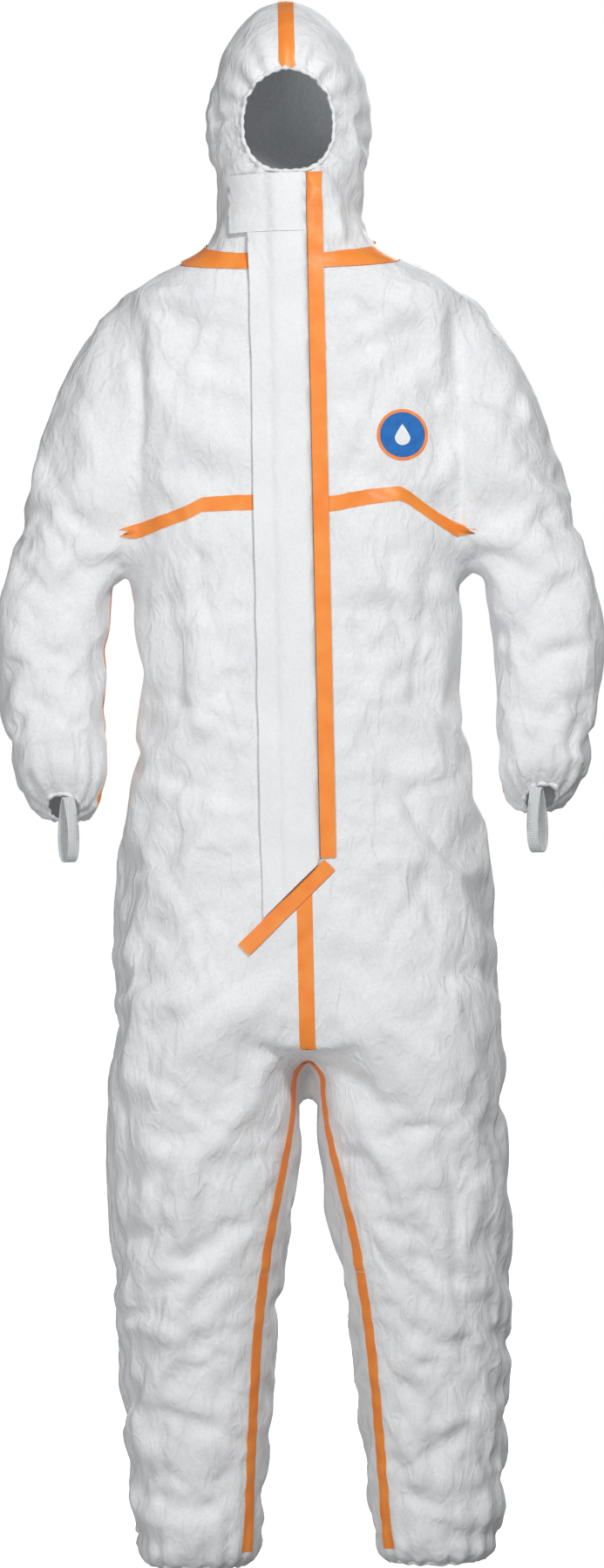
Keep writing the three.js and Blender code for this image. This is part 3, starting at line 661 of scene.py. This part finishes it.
# Its faint emission is a painted glow, standing in for the daylight that comes through the thin laminate, so the inner
# face is never black.
inner_face_painted_shade_and_glow.node_tree.nodes["Principled BSDF"].inputs["Emission Color"].default_value = linear("#e9eaec")
inner_face_painted_shade_and_glow.node_tree.nodes["Principled BSDF"].inputs["Emission Strength"].default_value = 0.06

# %% [markdown]
# The tape is a heat-activated polyethylene film, rolled over the sewn seams. It is a bright
# orange, a little glossier than the fabric, and the hot roller leaves a fine waffle of 2.5 mm.

# %% Sealed seam tape
def sealed_tape_finish():
    material, tree, shader, place = new_finish("heat-sealed polyethylene tape", Roughness=0.42)
    shader.inputs["Specular IOR Level"].default_value = 0.4
    stain = add_node(tree, "TexNoise", Vector=place, Scale=per_metre(25), Detail=4.0)
    ramp = add_node(tree, "ValToRGB", Fac=stain.outputs["Fac"])
    ramp.color_ramp.elements[0].position, ramp.color_ramp.elements[0].color = 0.3, linear("#fb8a34")
    ramp.color_ramp.elements[1].position, ramp.color_ramp.elements[1].color = 0.7, linear("#ff9d47")
    tree.links.new(ramp.outputs["Color"], shader.inputs["Base Color"])
    waffle = add_node(tree, "TexVoronoi", Vector=place, Scale=per_metre(2.5), Randomness=0.25)
    wrinkle = add_node(tree, "TexNoise", Vector=place, Scale=per_metre(9), Detail=3.0)
    low = add_node(tree, "Bump", Strength=0.5, Distance=0.8 * MM, Height=wrinkle.outputs["Fac"])
    fine = add_node(tree, "Bump", Strength=0.3, Distance=0.2 * MM, Height=waffle.outputs["Distance"], Normal=low.outputs[0])
    tree.links.new(fine.outputs[0], shader.inputs["Normal"])
    return material


tape_finish = sealed_tape_finish()

# %% [markdown]
# The thumb loops are knitted elastic. Its ribs run along the band, 2.4 mm apart, and each rib
# is a row of stitches. The zip's tape is woven polyester in a plain weave of 1.2 mm, and its
# coil is moulded nylon. The slider and its pull are cast zinc under white enamel.

# %% Knit, weave and hard parts
def ribbed(name, light, dark, across, along, roughness):
    """Two crossed bands of ribs, across and along in millimetres, with painted shade darkening their grooves."""
    material, tree, shader, place = new_finish(name, Roughness=roughness)
    waves = []
    for size, axis in ((across, "X"), (along, "Z")):
        wave = add_node(tree, "TexWave", {"bands_direction": axis}, Vector=place, Scale=per_metre(size) * 2 * math.pi / 20, Distortion=0.6)
        waves.append(wave.outputs["Fac"])
    woven = add_node(tree, "Math", {"operation": "MULTIPLY"}, i0=waves[0], i1=waves[1])
    # The colour follows the ribs' height, so the darker colour in the grooves is painted shade.
    colour = add_node(tree, "Mix", {"data_type": "RGBA"}, Factor=woven.outputs[0])
    colour.inputs["A"].default_value, colour.inputs["B"].default_value = linear(dark), linear(light)
    for socket in colour.inputs:
        if socket.type == "RGBA":
            socket.default_value = linear(dark) if socket.name == "A" else linear(light)
    tree.links.new([o for o in colour.outputs if o.type == "RGBA"][0], shader.inputs["Base Color"])
    relief = add_node(tree, "Bump", Strength=0.6, Distance=0.5 * MM, Height=woven.outputs[0])
    tree.links.new(relief.outputs[0], shader.inputs["Normal"])
    return material


def coated(name, colour, worn, roughness, grain, **values):
    """A hard or printed surface with faint marks of handling, grain in millimetres."""
    material, tree, shader, place = new_finish(name, **values)
    marks = add_node(tree, "TexNoise", Vector=place, Scale=per_metre(grain), Detail=5.0)
    ramp = add_node(tree, "ValToRGB", Fac=marks.outputs["Fac"])
    ramp.color_ramp.elements[0].position, ramp.color_ramp.elements[0].color = 0.3, linear(worn)
    ramp.color_ramp.elements[1].position, ramp.color_ramp.elements[1].color = 0.6, linear(colour)
    tree.links.new(ramp.outputs["Color"], shader.inputs["Base Color"])
    gloss = add_node(tree, "MapRange", Value=marks.outputs["Fac"], To_Min=roughness - 0.06, To_Max=roughness + 0.08)
    tree.links.new(gloss.outputs[0], shader.inputs["Roughness"])
    relief = add_node(tree, "Bump", Strength=0.2, Distance=0.2 * MM, Height=marks.outputs["Fac"])
    tree.links.new(relief.outputs[0], shader.inputs["Normal"])
    return material


# The darker colour of the knit and of the weave is painted shade in their grooves.
knit = ribbed("knitted elastic", "#eceeef", "#c9ccce", 2.4, 1.8, 0.85)
weave = ribbed("woven polyester tape", "#f0f1f2", "#d3d6d8", 1.2, 1.2, 0.75)
coil_plastic = coated("moulded nylon coil", "#eef0f1", "#dfe2e4", 0.4, 6)
enamel = coated("white enamel on cast zinc", "#f1f1ef", "#dcdcd8", 0.28, 5, Coat_Weight=0.4)
liner = coated("siliconed adhesive liner", "#e9e4d4", "#ddd7c4", 0.35, 12)
blue_film = coated("printed film, blue", "#0e6fc0", "#0a63b0", 0.4, 8)
white_film = coated("printed film, white", "#f4f6f8", "#e6eaee", 0.4, 8)
orange_film = coated("printed film, orange", "#ff9446", "#f48437", 0.4, 8)
print("finishes:", len(bpy.data.materials))


# %% [markdown]
# The skin is now cut where the suit's parts meet: round the neck, at the armholes and the
# elbows, under the crotch and above the knees. Each cut marks its edges, and a flood fill
# that stops at the marks then finds the pieces.

# %% Cutting the skin
ARMHOLE_X, ARMHOLE_SLOPE = 0.178, 0.065
ELBOW_CUT, KNEE_CUT = -0.395, -1.04
neck_normal = (NECK_BACK - NECK_FRONT).cross(Vector((-1, 0, 0))).normalized()
armhole_point = {sign: Vector((sign * ARMHOLE_X, 0, -0.1)) for sign in SIDES.values()}
armhole_normal = {sign: Vector((sign, 0, ARMHOLE_SLOPE)).normalized() for sign in SIDES.values()}
leg_cut = min(v.co.z for v in skin.data.vertices if abs(v.co.x) < 5 * MM) - 4 * MM
whole_skin = BVHTree.FromPolygons([v.co.copy() for v in skin.data.vertices], [list(p.vertices) for p in skin.data.polygons])


def open_loops(obj):
    """The open edges of a skin, as rings of (place, normal) in order."""
    bm = bmesh.new()
    bm.from_mesh(obj.data)
    after = {}
    for e in bm.edges:
        if e.is_boundary:
            for loop in e.link_loops:
                after[loop.vert.index] = loop.link_loop_next.vert.index
    bm.verts.ensure_lookup_table()
    loops = []
    while after:
        first = i = next(iter(after))
        loop = []
        while i in after:
            loop.append((bm.verts[i].co.copy(), bm.verts[i].normal.copy()))
            i = after.pop(i)
        loops.append(loop)
    bm.free()
    return loops


def near_zip(c):
    return c.y < -0.05 and abs(c.x) < 0.05 and zip_foot - 0.03 < c.z < zip_top + 0.03


openings = open_loops(skin)
level = Vector((0, 0, 1))
bisect(skin, NECK_FRONT, neck_normal, lambda c: -0.05 < c.z < 0.06, seam=True)
for sign in SIDES.values():
    bisect(skin, armhole_point[sign], armhole_normal[sign], lambda c: c.x * sign > 0.14 and -0.40 < c.z < 0, seam=True)
bisect(skin, level * ELBOW_CUT, level, lambda c: abs(c.x) > 0.195 and abs(c.z - ELBOW_CUT) < 0.03, seam=True)
for z in (leg_cut, KNEE_CUT):
    bisect(skin, level * z, level, lambda c: abs(c.z - z) < 0.03, seam=True)
for x in (ZIP_HALF, -ZIP_HALF):
    bisect(skin, Vector((x, 0, 0)), Vector((1, 0, 0)), near_zip)
for z in (zip_foot, zip_top):
    bisect(skin, level * z, level, near_zip)
slot = delete_faces(skin, lambda c, n: near_zip(c) and abs(c.x) < ZIP_HALF and zip_foot < c.z < zip_top)
print("openings:", [len(loop) for loop in openings], "zip slot:", slot, "faces")


# %% [markdown]
# A piece of fabric is the outer face, an inner face 0.4 mm behind it, and a narrow rim that
# closes every open edge. Its shading normals are those of the whole skin, so that two pieces
# meet with no visible line.

# %% Thin shells
FABRIC = 0.4 * MM


def shell(name, points, normals, faces, thickness, finishes):
    count = len(points)
    directed = {(f[i - 1], f[i]) for f in faces for i in range(len(f))}
    edges = [(a, b) for a, b in directed if (b, a) not in directed]
    everything = [list(f) for f in faces] + [[i + count for i in reversed(f)] for f in faces]
    everything += [[b, a, a + count, b + count] for a, b in sorted(edges)]
    obj = mesh_object(name, np.concatenate([points, points - normals * thickness]), everything)
    for finish in finishes:
        obj.data.materials.append(finish)
    for i, polygon in enumerate(obj.data.polygons):
        polygon.use_smooth = True
        polygon.material_index = len(finishes) - 1 if len(faces) <= i < 2 * len(faces) else 0
    loops = []
    for i, polygon in enumerate(obj.data.polygons):
        for v in polygon.vertices:
            if i < 2 * len(faces):
                loops.append(normals[v] if v < count else -normals[v - count])
            else:
                loops.append(tuple(polygon.normal))
    obj.data.normals_split_custom_set([tuple(n) for n in loops])
    return obj


def piece_name(middle):
    side = "left" if middle.x > 0 else "right"
    if middle.z > 0:
        return "hood_fabric"
    if abs(middle.x) > 0.19:
        return f"{'upper' if middle.z > ELBOW_CUT else 'lower'}_sleeve_fabric_{side}"
    if middle.z < leg_cut:
        return f"{'upper' if middle.z > KNEE_CUT else 'lower'}_leg_fabric_{side}"
    return "trunk_fabric"


def flood(obj, name_of):
    """Faces by piece: a fill that stops at seams, each patch named by its middle."""
    bm = bmesh.new()
    bm.from_mesh(obj.data)
    bmesh.ops.triangulate(bm, faces=bm.faces[:])  # so that both faces of a shell bend along the same lines
    seen, groups = set(), {}
    for first in bm.faces:
        if first.index in seen:
            continue
        seen.add(first.index)
        patch = [first]
        for face in patch:
            for e in face.edges:
                for other in () if e.seam else e.link_faces:
                    if other.index not in seen:
                        seen.add(other.index)
                        patch.append(other)
        middle = sum((f.calc_center_median() for f in patch), Vector()) / len(patch)
        groups.setdefault(name_of(middle), []).extend([v.index for v in f.verts] for f in patch)
    bm.free()
    return groups


def shells_from(obj, name_of, thickness, finishes):
    points, normals = points_of(obj), normals_of(obj)
    made = {}
    for name, faces in flood(obj, name_of).items():
        used = sorted({i for f in faces for i in f})
        place = {old: new for new, old in enumerate(used)}
        made[name] = shell(name, points[used], normals[used], [[place[i] for i in f] for f in faces], thickness, finishes)
    bpy.data.objects.remove(obj)
    return made


fabric = shells_from(skin, piece_name, FABRIC, [laminate, inner_face_painted_shade_and_glow])
print("fabric:", {name: len(o.data.polygons) for name, o in fabric.items()})


# %% [markdown]
# A seam tape follows the frame's own tape. The outer face of the tape's node is copied, given
# more points, and laid on the draped skin, each point along its own normal. Then it is cut at
# the same levels as the fabric under it.

# %% Laying a strip on the skin
STRIP_STEP = 8 * MM  # longest edge of a strip's mesh
TAPE_LIFT = 0.75 * MM
TAPE_THICK = 0.5 * MM
FURTHEST = 30 * MM
plain_skin = tree_of(TRUNK_NODES + both("hood", "upper_sleeve", "lower_sleeve", "thigh", "shin"))
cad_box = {node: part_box(node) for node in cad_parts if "tape" in node}


def on_skin(p, normal):
    """The nearest place on the skin along the normal or against it, and the skin's normal there."""
    best = None
    for way in (normal, -normal):
        hit, hit_normal, _, distance = whole_skin.ray_cast(p, way, FURTHEST)
        if hit and hit_normal.dot(normal) > 0.3 and (best is None or distance < best[2]):
            best = (hit, hit_normal, distance)
    if best is None:
        best = whole_skin.find_nearest(p)[:3]
    return best[0], best[1]


CHEST_END = 0.174  # the tape stops here, at the armhole
CHEST_LINE = {  # (distance from the middle, height) along the lower edge of the chest seam's tape, in mm
    "left": ((20, -277), (80, -268), (114, -265), (124, -270), (200, -325)),
    "right": ((20, -271), (60, -271), (104, -273), (118, -281), (185, -303)),
}


def reshaped(node, p):
    """Moves a point of a tape: closes the gaps between two nodes, and follows the folds of the real seam."""
    p = p.copy()
    if node.startswith(("shin_tape", "lower_sleeve_tape")) and p.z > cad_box[node][1].z - 1 * MM:
        p.z += 1.0 * MM
    if node == "hood_centre_tape" and p.y < -0.02:
        p.z -= 9 * MM * max(1 - (p.z - face_high.z) / (25 * MM), 0)
    if node.endswith("sleeve_tape_right"):
        p.y -= 24 * MM
    rise_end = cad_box["front_rise_tape"][0].z
    if node == "front_rise_tape" and p.z < rise_end + 50 * MM:
        p.z -= 52 * MM * (1 - (p.z - rise_end) / (50 * MM))
    rise_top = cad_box["front_rise_tape"][1].z
    if node == "front_rise_tape" and p.z > rise_top - 30 * MM:
        p.z += 20 * MM * (1 - (rise_top - p.z) / (30 * MM))
    if node.startswith("chest_tape"):
        line = CHEST_LINE[node.split("_")[2]]
        x = abs(p.x) / MM
        wanted = np.interp(x, [a for a, b in line], [b for a, b in line])
        t = min(max((x - 30) / 151, 0), 1)
        drawn = -272 - 54 * t * t * (3 - 2 * t)
        p.z += (wanted - drawn) * MM
    return p


def outer_strip(node, lift):
    """The outer face of a strip's node, laid on the skin."""
    bm = bmesh.new()
    bm.from_mesh(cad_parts[node].data)
    bmesh.ops.remove_doubles(bm, verts=bm.verts, dist=1e-6)
    bm.normal_update()
    inside = [f for f in bm.faces if f.normal.dot(plain_skin.find_nearest(f.calc_center_median())[1]) < 0.3]
    if node.startswith("chest_tape"):
        inside = list(set(inside) | {f for f in bm.faces if abs(f.calc_center_median().x) > CHEST_END})
    bmesh.ops.delete(bm, geom=inside, context="FACES")
    for _ in range(3):
        long_edges = [e for e in bm.edges if e.calc_length() > STRIP_STEP]
        bmesh.ops.subdivide_edges(bm, edges=long_edges, cuts=1)
        bmesh.ops.triangulate(bm, faces=[f for f in bm.faces if len(f.verts) > 4])
    bm.normal_update()
    for v in bm.verts:
        v.co = reshaped(node, v.co)
        nearest = node.endswith("sleeve_tape_right")
        place, normal = whole_skin.find_nearest(v.co)[:2] if nearest else on_skin(v.co, v.normal)
        v.co = place + normal * lift
    bm.normal_update()
    mesh = bpy.data.meshes.new(node)
    bm.to_mesh(mesh)
    bm.free()
    obj = bpy.data.objects.new(node + "_strip", mesh)
    bpy.context.collection.objects.link(obj)
    return obj


NECK_TAPE_WIDTH = 16 * MM
NECK_TAPE_UP = 3 * MM  # its middle, above the seam
NECK_TAPE_FRONT = {"left": 0.40, "right": 0.46}  # where it meets the flap's tape, in radians from the front
NECK_TAPE_COLUMNS = 60


NECK_TAPE_MEET = 0.006  # half the gap where the two neck tapes meet at the nape, in radians


def neck_strip(node, lift):
    """The neck's tape runs round the foot of the collar, found by level rays from inside."""
    side = node.split("_")[2]
    points = []
    for turn in np.linspace(NECK_TAPE_FRONT[side], math.pi - NECK_TAPE_MEET, NECK_TAPE_COLUMNS):
        way = Vector((SIDES[side] * math.sin(turn), -math.cos(turn), 0))
        for up in np.linspace(-0.5, 0.5, 5) * NECK_TAPE_WIDTH:
            z = neck_line(way.y * 0.09) + NECK_TAPE_UP + up
            for _ in range(3):
                hit, normal = whole_skin.ray_cast(Vector((0, -0.01, z)), way)[:2]
                z = neck_line(hit.y) + NECK_TAPE_UP + up
            points.append(hit + normal * lift)
    faces = []
    for column in range(NECK_TAPE_COLUMNS - 1):
        for row in range(4):
            a = column * 5 + row
            quad = (a, a + 5, a + 6, a + 1)
            faces.append(quad if SIDES[side] > 0 else quad[::-1])
    return mesh_object(node + "_strip", points, faces)


print("skin to lay on:", len(openings), "openings")


def follow(piece, part):
    """Attaches a trunk piece to the torso; a piece of any other part only has its transform baked in."""
    if part == "trunk":
        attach(piece, "torso")
    elif part == "hood":
        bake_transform(piece)
    elif part == "upper_sleeve":
        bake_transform(piece)
    elif part == "lower_sleeve":
        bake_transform(piece)
    elif part == "upper_leg":
        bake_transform(piece)
    elif part == "lower_leg":
        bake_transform(piece)
    return piece


FABRIC_NODES = {
    "trunk": TRUNK_NODES[2:],
    "hood": both("collar", "hood"),
    "upper_sleeve": ["upper_sleeve"],
    "lower_sleeve": ["lower_sleeve"],
    "upper_leg": ["thigh"],
    "lower_leg": ["shin"],
}
for name, piece in fabric.items():
    part = name.split("_fabric")[0]
    side = "left" if name.endswith("left") else "right"
    follow(piece, part)
    nodes = FABRIC_NODES[part]
    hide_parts(*(nodes if part in ("trunk", "hood") else [f"{nodes[0]}_{side}"]))


# %% Seam tapes
HIGHER = {"flap_seam_tape": 1.3 * MM, "flap_foot_tape": 1.6 * MM, "neck_tape_left": 1.0 * MM, "neck_tape_right": 1.0 * MM}

def tape_part(node, middle):
    if node in ("hood_centre_tape", "collar_back_tape"):
        return "hood"
    if "sleeve" in node:
        return "upper_sleeve" if middle.z > ELBOW_CUT else "lower_sleeve"
    if node.startswith(("thigh", "shin")):
        return "trunk" if middle.z > leg_cut else "upper_leg" if middle.z > KNEE_CUT else "lower_leg"
    return "trunk"


for node in TAPES:
    side = "right" if node.endswith("right") else "left"
    strip = (neck_strip if node.startswith("neck") else outer_strip)(node, TAPE_LIFT + HIGHER.get(node, 0))
    for z in (ELBOW_CUT,) if "sleeve" in node else (leg_cut, KNEE_CUT) if node[:2] in ("th", "sh") else ():
        bisect(strip, level * z, level, lambda c: abs(c.z - z) < 0.05, seam=True)
    parts = shells_from(strip, lambda middle: node + "__" + tape_part(node, middle), TAPE_THICK, [tape_finish])
    for i, (name, piece) in enumerate(parts.items()):
        follow(piece, name.split("__")[1])
        if i == 0:
            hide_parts(node)
print("tapes laid: %.1f s" % (time.time() - started))


# %% [markdown]
# The two flaps over the zip are strips of the same laminate, welded under the seam tape and
# free along the other edge. Their free edges wave a little, as a cut edge does.

# %% Flaps
def copy_of(node, name, step):
    """A merged copy of a node, with more points."""
    bm = bmesh.new()
    bm.from_mesh(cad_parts[node].data)
    bmesh.ops.remove_doubles(bm, verts=bm.verts, dist=1e-6)
    for _ in range(3):
        long_edges = [e for e in bm.edges if e.calc_length() > step]
        bmesh.ops.subdivide_edges(bm, edges=long_edges, cuts=1)
        bmesh.ops.triangulate(bm, faces=[f for f in bm.faces if len(f.verts) > 4])
    mesh = bpy.data.meshes.new(name)
    bm.to_mesh(mesh)
    bm.free()
    obj = bpy.data.objects.new(name, mesh)
    bpy.context.collection.objects.link(obj)
    return obj


WAVE = 1.6 * MM
FLAP_RISE = 1.6 * MM  # the storm flap's end is raised to close the slot under the chin flap
for node in ("storm_flap", "chin_flap"):
    flap = copy_of(node, node + "_fabric", 10 * MM)
    low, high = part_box(node)
    for v in flap.data.vertices:
        if node == "storm_flap" and v.co.z > high.z - 1 * MM:
            v.co.z += FLAP_RISE
        free = mix(0, 1, (high.x - 0.012 - v.co.x) / (high.x - low.x - 0.012))
        v.co.y -= WAVE * free * (0.5 + 0.9 * noise.noise(Vector((v.co.x * 6, 3.7, v.co.z * 13))))
        v.co.x += 1.2 * MM * free * noise.noise(Vector((0.5, 8.1, v.co.z * 21)))
    flap.data.materials.append(flap_face)
    activate(flap)
    bpy.ops.object.shade_smooth_by_angle(angle=math.radians(40))
    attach(flap, node)
    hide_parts(node)
    print(node, "%.0f x %.0f mm" % ((high.x - low.x) / MM, (high.z - low.z) / MM))


# %% [markdown]
# At the face, the cuffs and the ankles the edge is rolled round a thin elastic cord, which
# gathers it. The hem is a soft tube along the open edge, thick and thin by turns.

# %% Gathered hems
HEM_RADIUS = 2.3 * MM
HEM_SIDES = 10
HEM_STEPS = 3  # points of the hem for each point of the open edge
PUCKER = 0.22


def rolled_hem(name, loop, pleat):
    """A tube along a ring of (place, normal). Pleats come every so many metres."""
    places = np.array([p for p, n in loop], float)
    normals = np.array([n for p, n in loop], float)
    count = len(loop)
    for _ in range(2):
        places = (np.roll(places, 1, 0) + 2 * places + np.roll(places, -1, 0)) / 4
    steps = np.arange(0, count, 1 / HEM_STEPS)
    low, share = steps.astype(int), (steps % 1)[:, None]
    high = (low + 1) % count
    places = places[low] * (1 - share) + places[high] * share
    normals = normals[low] * (1 - share) + normals[high] * share
    normals /= np.linalg.norm(normals, axis=1, keepdims=True)
    along = np.roll(places, -1, 0) - np.roll(places, 1, 0)
    length = np.linalg.norm(along, axis=1, keepdims=True) / 2
    travelled = np.cumsum(length)
    pleats = max(6, round(travelled[-1] / pleat))
    along /= 2 * length
    across = np.cross(along, normals)
    swell = 1 + PUCKER * np.cos(2 * math.pi * pleats * travelled / travelled[-1])
    points, faces = [], []
    for k in range(HEM_SIDES):
        turn = 2 * math.pi * k / HEM_SIDES
        ring_k = normals * math.cos(turn) * 0.85 + across * math.sin(turn) * 1.15
        points.append(places + ring_k * (HEM_RADIUS * swell)[:, None])
    total = len(places)
    for k in range(HEM_SIDES):
        for i in range(total):
            a, b = k * total + i, k * total + (i + 1) % total
            c, d = ((k + 1) % HEM_SIDES) * total + (i + 1) % total, ((k + 1) % HEM_SIDES) * total + i
            faces.append((a, b, c, d))
    obj = mesh_object(name, np.concatenate(points), faces)
    activate(obj)
    bpy.ops.object.mode_set(mode="EDIT")
    bpy.ops.mesh.select_all(action="SELECT")
    bpy.ops.mesh.normals_make_consistent(inside=False)
    bpy.ops.object.mode_set(mode="OBJECT")
    bpy.ops.object.shade_smooth()
    obj.data.materials.append(laminate)
    return obj


for loop in openings:
    middle = sum((p for p, n in loop), Vector()) / len(loop)
    side = "left" if middle.x > 0 else "right"
    if middle.z > 0:
        piece = follow(rolled_hem("face_hem", loop, 0.011), "hood")
        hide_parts("face_elastic")
    elif middle.z > -0.8:
        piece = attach(rolled_hem(f"wrist_hem_{side}", loop, 0.012), f"forearm_{side}")
        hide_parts(f"wrist_elastic_{side}")
    else:
        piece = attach(rolled_hem(f"ankle_hem_{side}", loop, 0.014), f"shin_{side}")
        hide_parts(f"ankle_elastic_{side}")
    print(piece.name, "at z %.3f" % middle.z)


# %% [markdown]
# The waist elastic is a knitted band stitched to the inner face. It is laid on the skin from
# inside. The thumb loops are knitted bands too, each a copy of its node with more points,
# shaded smooth.

# %% Elastic bands
WAIST_POINTS = 120


def waist_band():
    low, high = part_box("waist_elastic")
    z = (low.z + high.z) / 2
    half = min((high.z - low.z) / 2, 6 * MM)
    points, normals = [], []
    for level_z in (z + half, z, z - half):
        for i in range(WAIST_POINTS):
            turn = 2 * math.pi * i / WAIST_POINTS
            way = Vector((math.cos(turn), math.sin(turn), 0))
            hit = whole_skin.ray_cast(Vector((0, 0, level_z)), way)[0]
            points.append(hit - way * 2.2 * MM)
            normals.append(way)
    faces = []
    for j in range(2):
        for i in range(WAIST_POINTS):
            k = (i + 1) % WAIST_POINTS
            faces.append((j * WAIST_POINTS + i, (j + 1) * WAIST_POINTS + i, (j + 1) * WAIST_POINTS + k, j * WAIST_POINTS + k))
    return shell("waist_band", np.array(points, float), np.array(normals, float), faces, 0.8 * MM, [knit])


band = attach(waist_band(), "torso")
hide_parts("waist_elastic")
for side in SIDES:
    loop = copy_of(f"thumb_loop_{side}", f"thumb_loop_band_{side}", 8 * MM)
    loop.data.materials.append(knit)
    activate(loop)
    bpy.ops.object.shade_smooth_by_angle(angle=math.radians(45))
    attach(loop, f"thumb_loop_{side}")
    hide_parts(f"thumb_loop_{side}")


# %% [markdown]
# The badge is a round printed film on the chest: a blue field, an orange rim, and a plain
# white drop. It is modelled flat as discs and then laid on the fabric.

# %% Chest badge
def disc(name, radius, finish, lift, shape=None):
    """A round film: rings of squares round a middle face, laid on the chest."""
    deselect()
    bpy.ops.mesh.primitive_circle_add(vertices=96, radius=radius, fill_type="NGON", rotation=(math.pi / 2, 0, 0))
    obj = bpy.context.object
    obj.name = name
    bpy.ops.object.transform_apply(rotation=True)
    bpy.ops.object.mode_set(mode="EDIT")
    for share in (0.16, 0.16, 0.2, 0.2):
        bpy.ops.mesh.inset(thickness=radius * share)
    bpy.ops.object.mode_set(mode="OBJECT")
    points, normals = [], []
    for v in obj.data.vertices:
        x, z = (v.co.x, v.co.z) if shape is None else shape(v.co.x, v.co.z)
        start = Vector((badge_centre.x + x, -0.3, badge_centre.z + z))
        hit = whole_skin.ray_cast(start, Vector((0, 1, 0)))[0]
        points.append(hit + Vector((0, -lift, 0)))
        normals.append(Vector((0, -1, 0)))
    faces = [list(p.vertices) for p in obj.data.polygons]
    if obj.data.polygons[0].normal.y > 0:
        faces = [f[::-1] for f in faces]
    bpy.data.objects.remove(obj)
    return shell(name, np.array(points, float), np.array(normals, float), faces, 0.3 * MM, [finish])


def drop_shape(x, z):
    """Turns a disc into a falling drop: the upper half narrows to a point."""
    if z > 0:
        x *= (1 - z / DROP_RADIUS) ** 0.55 if z < DROP_RADIUS else 0
        z *= 1.75
    return x, z - 3 * MM


DROP_RADIUS = 8.5 * MM
badge = [
    disc("badge_rim", badge_radius, orange_film, 0.7 * MM),
    disc("badge_field", badge_radius - 3.5 * MM, blue_film, 1.0 * MM),
    disc("badge_drop", DROP_RADIUS, white_film, 1.3 * MM, drop_shape),
]
for piece in badge:
    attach(piece, "torso")
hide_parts("chest_badge_rim")
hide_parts("chest_badge_face")

# %% Finishes of the frame's own nodes
NODE_FINISHES = {
    weave: both("zip_tape"),
    coil_plastic: both("zip_coil"),
    enamel: ["zip_slider", "zip_pull", "zip_bottom_stop"],
    liner: ["storm_flap_adhesive", "chin_flap_adhesive"],
}
for finish, nodes in NODE_FINISHES.items():
    for node in nodes:
        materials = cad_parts[node].data.materials
        if materials:
            materials[0] = finish
        else:
            materials.append(finish)


# %% [markdown]
# The camera stands far off with a long lens, so that the suit is seen almost without
# perspective, and it is rolled by about a degree. The suit hangs over a white
# floor, before a white that the camera sees brighter than the light it gives.

# %% Camera, sweep and light
VIEW_HEIGHT = 1.744  # metres from the top of the frame to its bottom
VIEW_MIDDLE = -0.581
DISTANCE = 7.0
SENSOR = 36.0
ROLL = math.radians(-1.2)

scene = bpy.context.scene
lens = bpy.data.cameras.new("camera")
camera = bpy.data.objects.new("camera", lens)
bpy.context.collection.objects.link(camera)
lens.sensor_fit = "VERTICAL"
lens.sensor_height = SENSOR
lens.lens = SENSOR * DISTANCE / VIEW_HEIGHT
camera.matrix_world = Matrix.Translation((0, -DISTANCE, VIEW_MIDDLE)) @ Matrix.Rotation(math.pi / 2, 4, "X") @ Matrix.Rotation(ROLL, 4, "Z")
scene.camera = camera

floor_z = hem - 4 * MM
bpy.ops.mesh.primitive_circle_add(vertices=64, radius=40, fill_type="NGON", location=(0, 0, floor_z))
sweep = bpy.context.object
sweep.name = "floor"
sweep_finish, tree, shader, place = new_finish("painted studio floor", Roughness=0.9)
shader.inputs["Base Color"].default_value = linear("#f4f4f4")
shader.inputs["Emission Color"].default_value = linear("#ffffff")
shader.inputs["Emission Strength"].default_value = 1.0
sweep.data.materials.append(sweep_finish)
sweep.visible_diffuse = sweep.visible_glossy = False  # it is a backdrop, and lights nothing

AMBIENT = 0.22
world = bpy.data.worlds.new("studio")
scene.world = world
world.use_nodes = True
world.node_tree.nodes["Background"].inputs["Color"].default_value = linear("#ffffff")
background = world.node_tree.nodes["Background"]
seen = add_node(world.node_tree, "LightPath").outputs["Is Camera Ray"]
strength = add_node(world.node_tree, "Math", {"operation": "MULTIPLY_ADD"}, i0=seen, i1=1 - AMBIENT, i2=AMBIENT)
world.node_tree.links.new(strength.outputs[0], background.inputs["Strength"])


def soft_light(name, place, target, size, power):
    data = bpy.data.lights.new(name, "AREA")
    data.shape, data.size, data.energy = "DISK", size, power
    light = bpy.data.objects.new(name, data)
    bpy.context.collection.objects.link(light)
    light.location = place
    light.rotation_euler = (Vector(target) - Vector(place)).to_track_quat("-Z", "Y").to_euler()


soft_light("key", (0.8, -2.3, 1.3), (0.05, 0, -0.3), 0.6, 44)
soft_light("fill", (-1.2, -2.6, -0.8), (0, 0, -1.1), 1.4, 30)
soft_light("back", (0.6, 2.9, 1.0), (0, 0, -0.6), 1.8, 60)
scene.view_settings.view_transform = "Standard"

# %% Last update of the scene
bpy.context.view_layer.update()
print("made in %.1f s" % (time.time() - started))
